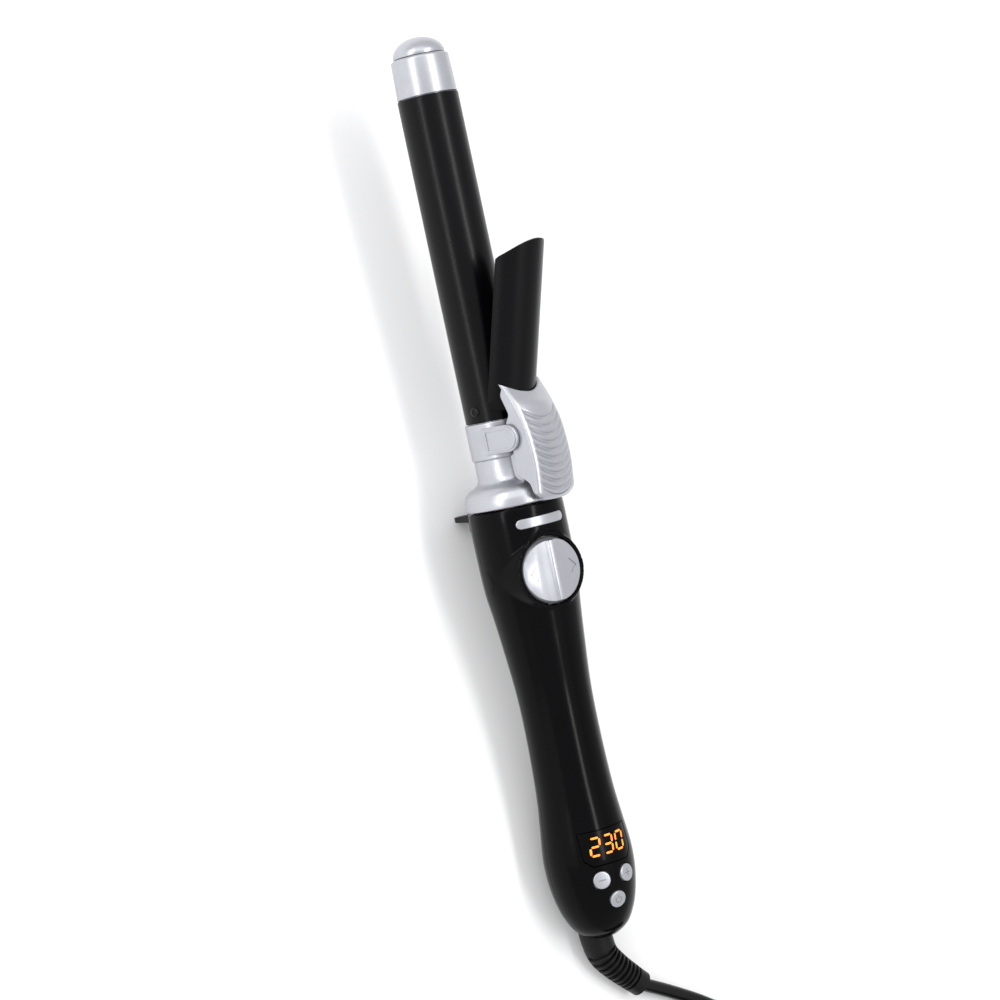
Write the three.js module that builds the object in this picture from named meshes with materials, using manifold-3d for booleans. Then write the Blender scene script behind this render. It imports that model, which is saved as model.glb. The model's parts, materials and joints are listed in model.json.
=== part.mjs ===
// An automatic hair curler: a heated barrel with a spring clip that a motor in the handle turns.
// Millimetres. The iron is drawn in its own frame, then laid on a table on its flip-out stand:
//   +X runs along the axis to the barrel's tip, x = 0 is the gap between the turning collar and
//   the handle, and +Z is the handle's front, where the display and the buttons are.
import * as THREE from "three";
import { mergeVertices } from "three/addons/utils/BufferGeometryUtils.js";
import Module from "manifold-3d";

const wasm = await Module();
wasm.setup();

// ---- Driving dimensions ----
const GAP = 0.3; // between pieces that touch
const ROUND = 32; // sides of a large round piece
const SMALL = 16; // sides of a small one
const degrees = THREE.MathUtils.degToRad;

// How the iron lies, and how its barrel is turned.
const REST_TILT = 5.5; // degrees, tip up, on the stand
const BARREL_TURN = 21; // degrees about the axis, from the handle's front to the clip
const CLIP_OPEN = 19; // degrees, from closed

// Handle: centre line radius against x, between the collar and the end.
const HANDLE_OUTLINE = [
  [-0.3, 19.5],
  [-7, 19.7],
  [-31, 19.4],
  [-43.7, 18.1],
  [-56.5, 16.9],
  [-77.5, 15.35],
  [-98.2, 15.2],
  [-118.8, 15.9],
  [-131, 17],
  [-143.1, 18.3],
  [-150, 18.45],
  [-156.5, 18],
  [-164.2, 16.6],
  [-170.6, 14.5],
  [-176.4, 11.2],
  [-180, 6.4],
];
const HANDLE_END = -181.2;
const WALL = 2;
const INNER_LENGTH = 0.986; // of the outer length
const BEND = 2; // how far the handle's end leans to the back
const BEND_START = -60;
const BEND_LENGTH = 118;
const SPLIT_Z = -3.5; // where the front and rear shells meet

// Collar that carries the barrel and the clip.
const NECK_RADIUS = 12.5;
const RING_RADIUS = 13.2;
const RING_START = 20.6;
const RING_END = 35.3;
const SPIGOT_RADIUS = 11;
const SPIGOT_END = 46;
const HUB_BORE = 8.5;

// Barrel.
const BARREL_RADIUS = 12.5;
const BARREL_BORE = 11.3;
const BARREL_START = RING_END + GAP;
const BARREL_END = 168.1;
const SCREW_X = 40.3;
const TIP_END = 192.4;

// Clip, about its hinge pin.
const PIVOT_X = 27.8;
const PIVOT_Z = 14.2;
const EAR_RADIUS = 5.5;
const EAR_INNER = 12.6;
const EAR_OUTER = 14.8;
const LEVER_HALF_WIDTH = 12.3;
const LEVER_WALL = 1.8;
const PLATE_INNER = 12.9;
const PLATE_OUTER = 13.8;
const PLATE_HALF_ANGLE = 76; // degrees
const PLATE_START = 10; // from the hinge
const PLATE_END = 79.2;

// Rocker that chooses the turning direction.
const ROCKER_X = -27.7;
const ROCKER_RADIUS = 13.35;
const ROCKER_RIM_Z = 18.2;
const ROCKER_PIVOT_Z = 13;

// Display and buttons.
const DISPLAY_X = [-148.5, -134.6];
const DISPLAY_HALF_WIDTH = 11;
const BUTTON_RADIUS = 3.55;
const SIDE_BUTTON_X = -154.5;
const SIDE_BUTTON_TURN = 19; // degrees about the handle's centre line
const POWER_BUTTON_X = -164;
const POWER_BUTTON_LEAN = 16; // degrees towards the handle's end
const BOARD_TOP_Z = 5.8;

// Drive: a stepped hollow shaft, a spur pair and a gear motor.
const SHAFT_RADIUS = 5;
const SHAFT_BORE = 3.4;
const STUB_RADIUS = 3.5;
const GEAR_MODULE = 0.5;
const GEAR_TEETH = 24;
const PINION_TEETH = 12;
const PINION_Z = (-GEAR_MODULE * (GEAR_TEETH + PINION_TEETH)) / 2;
const MOTOR_Z = -3;

// Stand, about its pin.
const STAND_PIN_X = -7;
const STAND_PIN_Z = -19;
const STAND_X = -2.4;
const STAND_HALF_WIDTH = 11.8;
const STAND_REACH = 35.2; // below the axis, before the floor trims it

// Mains cord, on the table. Its frame is the iron's origin, with the floor at z = 0.
const CORD_RADIUS = 2.8;
const SWIVEL_X = -166;
const SWIVEL_Z = -8.3;
const SWIVEL_RECESS = 7.5;
const BOOT_ROUTE = [
  [-166, 0, 10],
  [-174, 0, 9.3],
  [-181.2, 0.1, 8.7],
  [-188, -1.3, 8.1],
  [-194.2, -5.6, 7.6],
  [-199.9, -11, 6.7],
  [-205.2, -16.4, 5.8],
];
const LEAD_ROUTE = [
  [-205.6, -17, 5.75],
  [-210.6, -26.3, 4.6],
  [-215.4, -34.6, 3.8],
  [-220.4, -42.7, 3.15],
  [-225.9, -50.5, 2.9],
  [-231.2, -58, 2.9],
  [-236.5, -65.3, 2.9],
];
const TAIL_ROUTE = [
  [-298.8, -70.5, 19.4],
  [-306.6, -70.1, 18.8],
  [-314.1, -67.8, 16.9],
  [-320.7, -63.6, 13.7],
  [-326, -57.8, 10.4],
  [-329.6, -50.9, 8.1],
  [-331.1, -45.5, 7.2],
  [-331.4, -41.2, 6.95],
];
const COIL_CENTRE = [-270, -41.6];
const COIL_INNER = 20.3;
const COIL_OUTER = 37.4;
const COIL_HEIGHT = 17; // three layers of cord
const PLUG_PLACE = [-331.4, -40.6, 6.95]; // its back, facing +Y

// ---- Materials ----
const paint = (color, roughness, metalness) =>
  new THREE.MeshStandardMaterial({ color, roughness, metalness });
const silver = paint(0xc4c6cc, 0.35, 0.6);
const glossBlack = paint(0x08080a, 0.12, 0);
const satinBlack = paint(0x101114, 0.4, 0.3);
const rubberBlack = paint(0x0c0c0d, 0.6, 0);
const smokedLens = paint(0x050507, 0.05, 0);
const amber = paint(0xff9a2e, 0.5, 0);
const board = paint(0x1c5a32, 0.6, 0);
const whitePlastic = paint(0xd8d5cc, 0.6, 0);
const greyPlastic = paint(0x55575b, 0.6, 0);
const steel = paint(0x9a9ca0, 0.35, 0.9);
const brass = paint(0xb08d4c, 0.35, 0.9);
const copper = paint(0xb4704a, 0.3, 0.9);
const aluminium = paint(0xb8babd, 0.4, 0.9);
const carbon = paint(0x2a2a2c, 0.7, 0);
const ceramic = paint(0xe6e2d6, 0.7, 0);

// ---- Shape helpers ----
function solidFrom(geometry) {
  const bare = geometry.clone();
  bare.deleteAttribute("normal");
  bare.deleteAttribute("uv");
  const merged = mergeVertices(bare, 1e-4);
  const mesh = new wasm.Mesh({
    numProp: 3,
    vertProperties: merged.attributes.position.array,
    triVerts: new Uint32Array(merged.index.array),
  });
  return new wasm.Manifold(mesh);
}

function geometryFrom(solid) {
  const { vertProperties, triVerts } = solid.getMesh();
  return new THREE.BufferGeometry()
    .setAttribute("position", new THREE.BufferAttribute(vertProperties, 3))
    .setIndex(new THREE.BufferAttribute(triVerts, 1));
}

// Turned about the X axis from [x, radius] points that start and end on the axis.
function turned(points, sides = ROUND) {
  const profile = points.map(([x, radius]) => new THREE.Vector2(radius, x));
  if (THREE.ShapeUtils.area(profile) < 0) profile.reverse();
  return solidFrom(new THREE.LatheGeometry(profile, sides).rotateZ(-Math.PI / 2));
}

// The same, for a closed ring section that keeps off the axis.
function turnedRing(points, sides = ROUND) {
  const loop = points.map(([x, radius]) => new THREE.Vector2(radius, x));
  if (THREE.ShapeUtils.area(loop) < 0) loop.reverse();
  const profile = [...loop, loop[0].clone()];
  return solidFrom(new THREE.LatheGeometry(profile, sides).rotateZ(-Math.PI / 2));
}

function tube(start, end, outer, inner, sides = ROUND) {
  return turnedRing([[start, outer], [end, outer], [end, inner], [start, inner]], sides);
}

function rod(from, to, radius, sides = SMALL, farRadius = radius) {
  const start = new THREE.Vector3(...from);
  const along = new THREE.Vector3(...to).sub(start);
  const length = along.length();
  const geometry = new THREE.CylinderGeometry(farRadius, radius, length, sides);
  const up = new THREE.Vector3(0, 1, 0);
  geometry.translate(0, length / 2, 0);
  geometry.applyQuaternion(new THREE.Quaternion().setFromUnitVectors(up, along.normalize()));
  return solidFrom(geometry.translate(...from));
}

function block([x0, y0, z0], [x1, y1, z1]) {
  const geometry = new THREE.BoxGeometry(x1 - x0, y1 - y0, z1 - z0);
  return solidFrom(geometry.translate((x0 + x1) / 2, (y0 + y1) / 2, (z0 + z1) / 2));
}

function shapeOf(points) {
  return new THREE.Shape(points.map(([a, b]) => new THREE.Vector2(a, b)));
}

const flatExtrude = (shape, depth, curveSegments = 8) =>
  new THREE.ExtrudeGeometry(shape, { depth, bevelEnabled: false, curveSegments });

// A shape in (y, z) pushed along X, one in (x, z) along Y, and one in (x, y) along Z.
function pushedX(shape, x0, x1, curveSegments) {
  const geometry = flatExtrude(shape, x1 - x0, curveSegments);
  geometry.rotateX(Math.PI / 2).rotateZ(Math.PI / 2);
  return solidFrom(geometry.translate(x0, 0, 0));
}

function pushedY(shape, y0, y1, curveSegments) {
  const geometry = flatExtrude(shape, y1 - y0, curveSegments).rotateX(Math.PI / 2);
  return solidFrom(geometry.translate(0, y1, 0));
}

function pushedZ(shape, z0, z1, curveSegments) {
  return solidFrom(flatExtrude(shape, z1 - z0, curveSegments).translate(0, 0, z0));
}

function circleShape(radius) {
  const shape = new THREE.Shape();
  shape.absarc(0, 0, radius, 0, Math.PI * 2, false);
  return shape;
}

// A round bar along a smooth route.
function bar(points, radius, steps, sides) {
  const path = new THREE.CatmullRomCurve3(points.map((p) => new THREE.Vector3(...p)));
  const outline = circleShape(radius);
  const settings = { steps, extrudePath: path, bevelEnabled: false, curveSegments: sides };
  return solidFrom(new THREE.ExtrudeGeometry(outline, settings));
}

const mirrored = (solid) => solid.mirror([0, 1, 0]);

// The largest piece of a cut solid, without the slivers that the cuts leave.
function largest(solid) {
  return solid.decompose().reduce((best, next) => (next.volume() > best.volume() ? next : best));
}

const groups = {
  iron: new THREE.Group(),
  barrel: new THREE.Group(),
  clip: new THREE.Group(),
  cord: new THREE.Group(),
};

function add(group, name, solid, material) {
  const mesh = new THREE.Mesh(geometryFrom(solid), material);
  mesh.name = name;
  groups[group].add(mesh);
}

// ---- Handle body, before it is split into shells ----
const outlineCurve = new THREE.SplineCurve(
  HANDLE_OUTLINE.map(([x, radius]) => new THREE.Vector2(x, radius)),
);

function bendAt(x) {
  const t = Math.max(0, (BEND_START - x) / BEND_LENGTH);
  return -BEND * t ** 1.5;
}

// The handle's solid, made smaller all round by inset.
function handleBody(inset, sides, steps) {
  const squeeze = inset > 0 ? INNER_LENGTH : 1 + inset / HANDLE_END;
  const middle = outlineCurve.getPoints(steps).map((p) => [p.x * squeeze, p.y - inset]);
  const open = middle.filter(([, radius]) => radius > 1);
  const start = HANDLE_OUTLINE[0][0] + (inset > 0 ? 1 : 0);
  const points = [[start, 0], [start, open[0][1]], ...open.slice(1), [HANDLE_END * squeeze, 0]];
  const shape = turned(points, sides);
  return shape.warp((vertex) => {
    vertex[2] += bendAt(vertex[0]);
  });
}

function radiusAt(x) {
  const samples = outlineCurve.getPoints(200);
  return samples.find((p) => p.x <= x).y;
}

const HANDLE_SIDES = 32;
const HANDLE_STEPS = 20;
const handleOuter = handleBody(0, HANDLE_SIDES, HANDLE_STEPS);
const handleInner = handleBody(WALL, 24, 12);

// Cylinders across the handle's front for the rocker and the buttons.
const rockerBore = rod([ROCKER_X, 0, 8], [ROCKER_X, 0, 30], ROCKER_RADIUS + 0.6, 28);
const rockerBoss = rod([ROCKER_X, 0, 6], [ROCKER_X, 0, 17.9], 18.3, 28, 15.2);
const rockerDish = rod([ROCKER_X, 0, 17.9], [ROCKER_X, 0, 21], 15.4, 28, 18);

// A button's own frame: its height runs along the direction it is pressed.
function buttonPlace(name) {
  const place = new THREE.Object3D();
  if (name === "power") {
    place.position.set(POWER_BUTTON_X, 0, bendAt(POWER_BUTTON_X) + radiusAt(POWER_BUTTON_X));
    place.rotation.y = degrees(-POWER_BUTTON_LEAN);
  } else {
    const turn = degrees(name === "plus" ? SIDE_BUTTON_TURN : -SIDE_BUTTON_TURN);
    const radius = radiusAt(SIDE_BUTTON_X);
    const centre = bendAt(SIDE_BUTTON_X);
    place.position.set(SIDE_BUTTON_X, -radius * Math.sin(turn), centre + radius * Math.cos(turn));
    place.rotation.x = turn;
  }
  place.updateMatrix();
  return place.matrix;
}

const standing = (points) =>
  turned(points, 20).rotate([0, -90, 0]);
const STEM_LENGTH = { minus: 5.6, plus: 5.6, power: 4.9 };

function buttonCap(name) {
  const foot = -STEM_LENGTH[name];
  const cap = standing([
    [foot, 0],
    [foot, 2.2],
    [-3.9, 2.2],
    [-3.9, 4.2],
    [-3.2, 4.2],
    [-3.2, BUTTON_RADIUS],
    [0.2, BUTTON_RADIUS],
    [0.55, BUTTON_RADIUS - 0.4],
    [0.65, 0],
  ]);
  return cap.transform(buttonPlace(name).elements);
}

// The hole through the skin, with a counterbore inside it for the cap's flange.
function buttonHole(name) {
  const hole = rod([0, 0, -3], [0, 0, 4], BUTTON_RADIUS + GAP, 20);
  const counterbore = rod([0, 0, -8], [0, 0, -2.4], 4.6, 20);
  return hole.add(counterbore).transform(buttonPlace(name).elements);
}

// A band of the handle's skin between two depths, within a solid.
const skin = (depth, within) =>
  handleOuter.subtract(handleBody(depth, HANDLE_SIDES, HANDLE_STEPS)).intersect(within);

function displayOutline(margin) {
  const [x0, x1] = DISPLAY_X;
  const half = DISPLAY_HALF_WIDTH + margin;
  const chamfer = 3;
  const outline = shapeOf([
    [x0 - margin, -half + chamfer],
    [x0 + chamfer - margin, -half],
    [x1 + margin, -half],
    [x1 + margin, half],
    [x0 + chamfer - margin, half],
    [x0 - margin, half - chamfer],
  ]);
  return pushedZ(outline, 5, 30);
}

function badgeOutline(margin) {
  const halfHeight = 1.95 + margin;
  const halfLength = 11 + margin;
  const outline = new THREE.Shape();
  outline.absarc(0, halfLength - halfHeight, halfHeight, 0, Math.PI, false);
  outline.absarc(0, -halfLength + halfHeight, halfHeight, Math.PI, Math.PI * 2, false);
  return pushedZ(outline, 5, 30).translate([-7.1, 0, 0]);
}

// ---- Handle shells ----
const frontHalf = block([-200, -40, SPLIT_Z + GAP / 2], [20, 40, 60]);
const rearHalf = block([-200, -40, -60], [20, 40, SPLIT_Z - GAP / 2]);
const recess = rod([SWIVEL_X + 0.5, 0, SWIVEL_Z], [-200, 0, SWIVEL_Z], SWIVEL_RECESS, 28);
const swivelBore = rod([-150, 0, SWIVEL_Z], [-200, 0, SWIVEL_Z], 4.5, 24);
const recessCup = rod([SWIVEL_X + 2.5, 0, SWIVEL_Z], [-200, 0, SWIVEL_Z], 9, 28);
const shellScrews = [
  [-118, 9.3],
  [-118, -9.3],
];

// The hollow inside the shells, less the screw bosses and the cup that holds the swivel.
function handleCavity() {
  let cavity = handleInner.subtract(recessCup);
  for (const [x, y] of shellScrews) cavity = cavity.subtract(rod([x, y, -20], [x, y, 20], 3.1));
  return cavity;
}

const cavity = handleCavity();

function handleFrontShell() {
  let shell = handleOuter.add(rockerBoss).subtract(cavity).intersect(frontHalf);
  for (const [x, y] of shellScrews) shell = shell.subtract(rod([x, y, -5], [x, y, 5], 1.3));
  for (const name of ["minus", "plus", "power"]) shell = shell.subtract(buttonHole(name));
  return shell
    .subtract(rockerDish)
    .subtract(rockerBore)
    .subtract(displayOutline(GAP))
    .subtract(skin(1.4, badgeOutline(GAP)))
    .subtract(recess)
    .subtract(swivelBore);
}

function handleRearShell() {
  const lug = rod([STAND_PIN_X, -6.9, STAND_PIN_Z], [STAND_PIN_X, 6.9, STAND_PIN_Z], 2.2, 20);
  const root = block([STAND_PIN_X - 2.2, -6.9, -19], [STAND_PIN_X + 2.2, 6.9, -16]);
  const pinBore = rod([STAND_PIN_X, -12, STAND_PIN_Z], [STAND_PIN_X, 12, STAND_PIN_Z], 1.3, 16);
  let shell = handleOuter.add(lug).add(root).subtract(cavity).intersect(rearHalf);
  for (const side of [-1, 1]) {
    const ys = [side * 7, side * 11.2].sort((a, b) => a - b);
    shell = shell.subtract(block([-10, ys[0], -23], [-4, ys[1], -16.3]));
  }
  for (const [x, y] of shellScrews) {
    shell = shell.subtract(rod([x, y, -16], [x, y, 0], 1.3));
    shell = shell.subtract(rod([x, y, -20], [x, y, -10.2], 2.4));
  }
  return shell.subtract(pinBore).subtract(recess).subtract(swivelBore);
}

add("iron", "handle_front_shell", largest(handleFrontShell()), glossBlack);
add("iron", "handle_rear_shell", largest(handleRearShell()), glossBlack);
add("iron", "top_bearing_cap", tube(-4.6, -0.5, 17.1, 9.2), satinBlack);
add("iron", "indicator_badge", skin(1.1, badgeOutline(0)), silver);
add("iron", "display_window", skin(1.6, displayOutline(0)), smokedLens);
shellScrews.forEach(([x, y], index) => {
  const head = rod([x, y, -11.6], [x, y, -10.5], 2.05);
  const thread = rod([x, y, -10.6], [x, y, 4], 1);
  add("iron", `shell_screw_${index + 1}`, head.add(thread), steel);
});

// ---- Electronics ----
add("iron", "main_board", block([-166.3, -7.9, BOARD_TOP_Z - 1.6], [-124, 7.9, BOARD_TOP_Z]), board);
add(
  "iron",
  "display_module",
  block([DISPLAY_X[0] + 1.2, -9.2, BOARD_TOP_Z + GAP], [DISPLAY_X[1] + 0.3, 9.2, 10.8]),
  amber,
);

function tactSwitch(x, y, height) {
  const low = BOARD_TOP_Z + GAP;
  const body = block([x - 2.9, y - 2.9, low], [x + 2.9, y + 2.9, low + 1.6]);
  return body.add(rod([x, y, low + 1], [x, y, height], 1.6));
}

add("iron", "tact_switch_minus", tactSwitch(-154.5, 4.1, 8.7), greyPlastic);
add("iron", "tact_switch_plus", tactSwitch(-154.5, -4.1, 8.7), greyPlastic);
add("iron", "tact_switch_power", tactSwitch(-162.6, 0, 8), greyPlastic);
for (const name of ["minus", "plus", "power"]) add("iron", `${name}_button`, buttonCap(name), silver);

// ---- Rocker and its switches ----
function rockerButton() {
  const bevel = 0.6;
  const wing = (side) =>
    shapeOf([
      [-0.9 * side, ROCKER_PIVOT_Z + 1.6],
      [-0.9 * side, 22.2],
      [0.9 * side, 22.2],
      [1.7 * side, 20.9],
      [ROCKER_RADIUS * side, ROCKER_RIM_Z],
      [ROCKER_RADIUS * side, ROCKER_PIVOT_Z + 1.6],
    ]);
  const span = [ROCKER_X - ROCKER_RADIUS, ROCKER_X + ROCKER_RADIUS];
  const wings = pushedX(wing(1), ...span).add(pushedX(wing(-1), ...span));
  const low = [ROCKER_X, 0, ROCKER_PIVOT_Z + 1.5];
  const middle = [ROCKER_X, 0, ROCKER_RIM_Z - bevel];
  const disc = rod(low, middle, ROCKER_RADIUS, 28)
    .add(rod([ROCKER_X, 0, ROCKER_RIM_Z - bevel - 0.1], [ROCKER_X, 0, 23], ROCKER_RADIUS, 28, 12));
  const rib = block([ROCKER_X - 10.4, -2.2, 11.9], [ROCKER_X + 10.4, 2.2, 15.2]);
  const pin = rod([ROCKER_X - 13, 0, ROCKER_PIVOT_Z], [ROCKER_X + 13, 0, ROCKER_PIVOT_Z], 0.9);
  return wings.intersect(disc).add(rib).add(pin);
}

function rockerCradle() {
  const base = block([ROCKER_X - 13.6, -10.5, 9.2], [ROCKER_X + 13.6, 10.5, 10.4]);
  const hole = rod([ROCKER_X - 14, 0, ROCKER_PIVOT_Z], [ROCKER_X + 14, 0, ROCKER_PIVOT_Z], 1.2);
  const posts = [-1, 1].map((side) => {
    const xs = [ROCKER_X + side * 10.8, ROCKER_X + side * 13.6].sort((a, b) => a - b);
    return block([xs[0], -2.4, 10], [xs[1], 2.4, ROCKER_PIVOT_Z + 1.2]);
  });
  return base.add(posts[0]).add(posts[1]).subtract(hole);
}

add("iron", "rocker_button", rockerButton(), silver);
add("iron", "rocker_cradle", rockerCradle(), whitePlastic);
for (const [name, y] of [["left", 7.5], ["right", -7.5]]) {
  const body = block([ROCKER_X - 3, y - 3, 10.7], [ROCKER_X + 3, y + 3, 12.7]);
  const plunger = rod([ROCKER_X, y, 12.4], [ROCKER_X, y, 13.3], 1.4);
  add("iron", `rotation_switch_${name}`, body.add(plunger), greyPlastic);
}

// ---- Drive ----
// An involute spur gear with stub teeth, its axis along X, a tooth at the given angle.
function gearShape(teeth, toothAngle, bore) {
  const pitch = (GEAR_MODULE * teeth) / 2;
  const base = pitch * Math.cos(degrees(20));
  const tip = pitch + 0.8 * GEAR_MODULE;
  const root = pitch - 1.1 * GEAR_MODULE;
  const backlash = 0.09;
  const involute = (radius) => {
    const roll = Math.sqrt(Math.max(0, (radius / base) ** 2 - 1));
    return roll - Math.atan(roll);
  };
  const half = Math.PI / (2 * teeth) - backlash / (2 * pitch);
  const halfAt = (radius) => half + involute(pitch) - involute(radius);
  const flank = [root, pitch, tip].map((radius) => [radius, halfAt(Math.max(radius, base))]);
  const shape = new THREE.Shape();
  for (let tooth = 0; tooth < teeth; tooth++) {
    const middle = toothAngle + (tooth * Math.PI * 2) / teeth;
    const points = [
      ...flank.map(([radius, angle]) => [radius, middle - angle]),
      ...flank.toReversed().map(([radius, angle]) => [radius, middle + angle]),
    ];
    points.forEach(([radius, angle], index) => {
      const y = radius * Math.cos(angle);
      const z = radius * Math.sin(angle);
      if (tooth === 0 && index === 0) shape.moveTo(y, z);
      else shape.lineTo(y, z);
    });
  }
  if (bore) {
    const hole = new THREE.Path();
    hole.absarc(0, 0, bore, 0, Math.PI * 2, true);
    shape.holes.push(hole);
  }
  return shape;
}

const shaft = turned([
  [-48, 0],
  [-48, STUB_RADIUS],
  [-35, STUB_RADIUS],
  [-35, SHAFT_RADIUS],
  [1.2, SHAFT_RADIUS],
  [1.2, 10.4],
  [3.7, 10.4],
  [3.7, SHAFT_RADIUS],
  [14, SHAFT_RADIUS],
  [14, SHAFT_BORE],
  [-33, SHAFT_BORE],
  [-33, 0],
], 24);
add("iron", "drive_shaft", shaft, steel);
const towardsPinion = -Math.PI / 2;
add(
  "iron",
  "drive_gear",
  pushedX(gearShape(GEAR_TEETH, towardsPinion, STUB_RADIUS + GAP), -42.5, -37, 4),
  whitePlastic,
);
const pinionTooth = Math.PI / 2 + Math.PI / PINION_TEETH;
const pinionGear = pushedX(gearShape(PINION_TEETH, pinionTooth, 0), -42.7, -36.8, 4);
const pinionShaft = rod([-42, 0, 0], [-53.5, 0, 0], 1.5);
add("iron", "motor_pinion", pinionGear.add(pinionShaft).translate([0, 0, PINION_Z]), brass);

for (const [index, x] of [-12, -19, -26].entries()) {
  add("iron", `slip_ring_${index + 1}`, tube(x - 4, x, 7.2, SHAFT_RADIUS + GAP, 24), copper);
  const brush = block([x - 3.4, -1.6, -13.6], [x - 0.6, 1.6, -7.7]);
  add("iron", `carbon_brush_${index + 1}`, brush, carbon);
}

function brushBlock() {
  let shape = block([-32, -5, -16], [-10, 5, -10.4]);
  for (const x of [-12, -19, -26]) {
    shape = shape.subtract(block([x - 3.7, -1.9, -13.9], [x - 0.3, 1.9, -5]));
  }
  return shape;
}

add("iron", "brush_block", brushBlock(), greyPlastic);
add("iron", "front_bush", tube(-8.5, -0.5, 8.9, SHAFT_RADIUS + GAP, 24), brass);
const bracketDisc = tube(-47.6, -43.6, 15, STUB_RADIUS + GAP);
const pinionHole = rod([-40, 0, PINION_Z], [-50, 0, PINION_Z], 1.9);
add("iron", "bearing_bracket", bracketDisc.subtract(pinionHole), greyPlastic);
const gearbox = rod([-48.6, 0, MOTOR_Z], [-66, 0, MOTOR_Z], 10, 28);
const gearboxBore = rod([-48, 0, PINION_Z], [-55, 0, PINION_Z], 1.9);
add("iron", "gearbox_housing", gearbox.subtract(gearboxBore), steel);
const motorCan = rod([-66.3, 0, MOTOR_Z], [-93, 0, MOTOR_Z], 9.8, 28);
add("iron", "motor_can", motorCan.add(rod([-92, 0, MOTOR_Z], [-95.5, 0, MOTOR_Z], 3)), steel);
add(
  "iron",
  "swivel_contact_housing",
  rod([-150, 0, SWIVEL_Z], [-157.4, 0, SWIVEL_Z], 6, 20),
  greyPlastic,
);

// ---- Stand ----
function standFoot() {
  const pinAxis = (y0, y1, radius) =>
    rod([STAND_PIN_X, y0, STAND_PIN_Z], [STAND_PIN_X, y1, STAND_PIN_Z], radius, 16);
  const front = new THREE.Shape();
  const corner = 5;
  front.moveTo(-STAND_HALF_WIDTH, -15.5);
  front.lineTo(-STAND_HALF_WIDTH, -STAND_REACH + corner);
  front.absarc(-STAND_HALF_WIDTH + corner, -STAND_REACH + corner, corner, Math.PI, Math.PI * 1.5);
  front.absarc(STAND_HALF_WIDTH - corner, -STAND_REACH + corner, corner, -Math.PI / 2, 0);
  front.lineTo(STAND_HALF_WIDTH, -15.5);
  const side = shapeOf([
    [STAND_X + 1.55, -15],
    [STAND_X - 1.55, -15],
    [STAND_X - 1.55, -23],
    [STAND_X - 1, -40],
    [STAND_X + 1, -40],
    [STAND_X + 1.55, -23],
  ]);
  const plate = pushedX(front, -6, 1, 6).intersect(pushedY(side, -14, 14));
  const clear = rod([-12, 0, 0], [4, 0, 0], 20.2, 48);
  let foot = plate.subtract(clear);
  for (const side of [-1, 1]) {
    const [y0, y1] = [side * 7.3, side * 10.9].sort((a, b) => a - b);
    const arm = block([STAND_PIN_X, y0, -21.2], [STAND_X, y1, -19.2]);
    foot = foot.add(pinAxis(y0, y1, 2.2)).add(arm);
  }
  return foot.subtract(pinAxis(-12, 12, 1.3));
}

const tilt = new THREE.Matrix4().makeRotationY(degrees(-REST_TILT));
const laid = handleOuter.transform(tilt.elements);
const floorZ = laid.boundingBox().min[2];
const underFloor = block([-300, -100, floorZ - 50], [300, 100, floorZ]);
const floorCut = underFloor.transform(tilt.clone().invert().elements);
add("iron", "stand_foot", standFoot().subtract(floorCut), satinBlack);
const standPin = rod([STAND_PIN_X, -10.7, STAND_PIN_Z], [STAND_PIN_X, 10.7, STAND_PIN_Z], 1);
add("iron", "stand_pin", standPin, steel);

// ---- Collar, with the ears that hold the clip ----
function hubCollar() {
  const flare = new THREE.SplineCurve(
    [[4.2, 19.95], [6.8, 19], [8.8, 17], [9.9, 14.6], [11, 13]].map((p) => new THREE.Vector2(...p)),
  );
  const body = turnedRing([
    [0.5, 10.8],
    [0.5, 19.4],
    [1.4, 20],
    ...flare.getPoints(5).map((p) => [p.x, p.y]),
    [12.4, NECK_RADIUS],
    [RING_START, NECK_RADIUS],
    [RING_START + 0.3, RING_RADIUS],
    [RING_END, RING_RADIUS],
    [RING_END, SPIGOT_RADIUS],
    [SPIGOT_END, SPIGOT_RADIUS],
    [SPIGOT_END, HUB_BORE],
    [14.3, HUB_BORE],
    [14.3, SHAFT_RADIUS + GAP],
    [4, SHAFT_RADIUS + GAP],
    [4, 10.8],
  ]);
  const ear = new THREE.Shape();
  ear.moveTo(PIVOT_X - EAR_RADIUS, 2.5);
  ear.lineTo(PIVOT_X + EAR_RADIUS, 2.5);
  ear.absarc(PIVOT_X, PIVOT_Z, EAR_RADIUS, 0, Math.PI, false);
  const earPlate = pushedY(ear, EAR_INNER, EAR_OUTER, 10);
  const earFoot = block([PIVOT_X - EAR_RADIUS, 10.5, 2.5], [PIVOT_X + EAR_RADIUS, EAR_OUTER, 8.4]);
  const hollow = block([PIVOT_X - EAR_RADIUS, 0, 0], [PIVOT_X + EAR_RADIUS, 13, 9]);
  const ringSpace = rod([15, 0, 0], [40, 0, 0], 12.4, 40).intersect(hollow);
  const wholeEar = earPlate.add(earFoot).subtract(ringSpace);
  const saddle = block([9, -8, 8], [RING_START + 1, 8, 14]);
  const springPocket = block([22.9, -9.3, 10.1], [32.7, 9.3, 20]);
  const pinBore = rod([PIVOT_X, -14.2, PIVOT_Z], [PIVOT_X, 14.2, PIVOT_Z], 1.8);
  const screwBore = rod([SCREW_X, -14, 0], [SCREW_X, 14, 0], 1.3);
  return body
    .add(wholeEar)
    .add(mirrored(wholeEar))
    .add(saddle)
    .subtract(springPocket)
    .subtract(pinBore)
    .subtract(screwBore);
}

add("barrel", "hub_collar", hubCollar(), silver);
add(
  "barrel",
  "hinge_pin",
  rod([PIVOT_X, -13.9, PIVOT_Z], [PIVOT_X, 13.9, PIVOT_Z], 1.5),
  steel,
);

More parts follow.
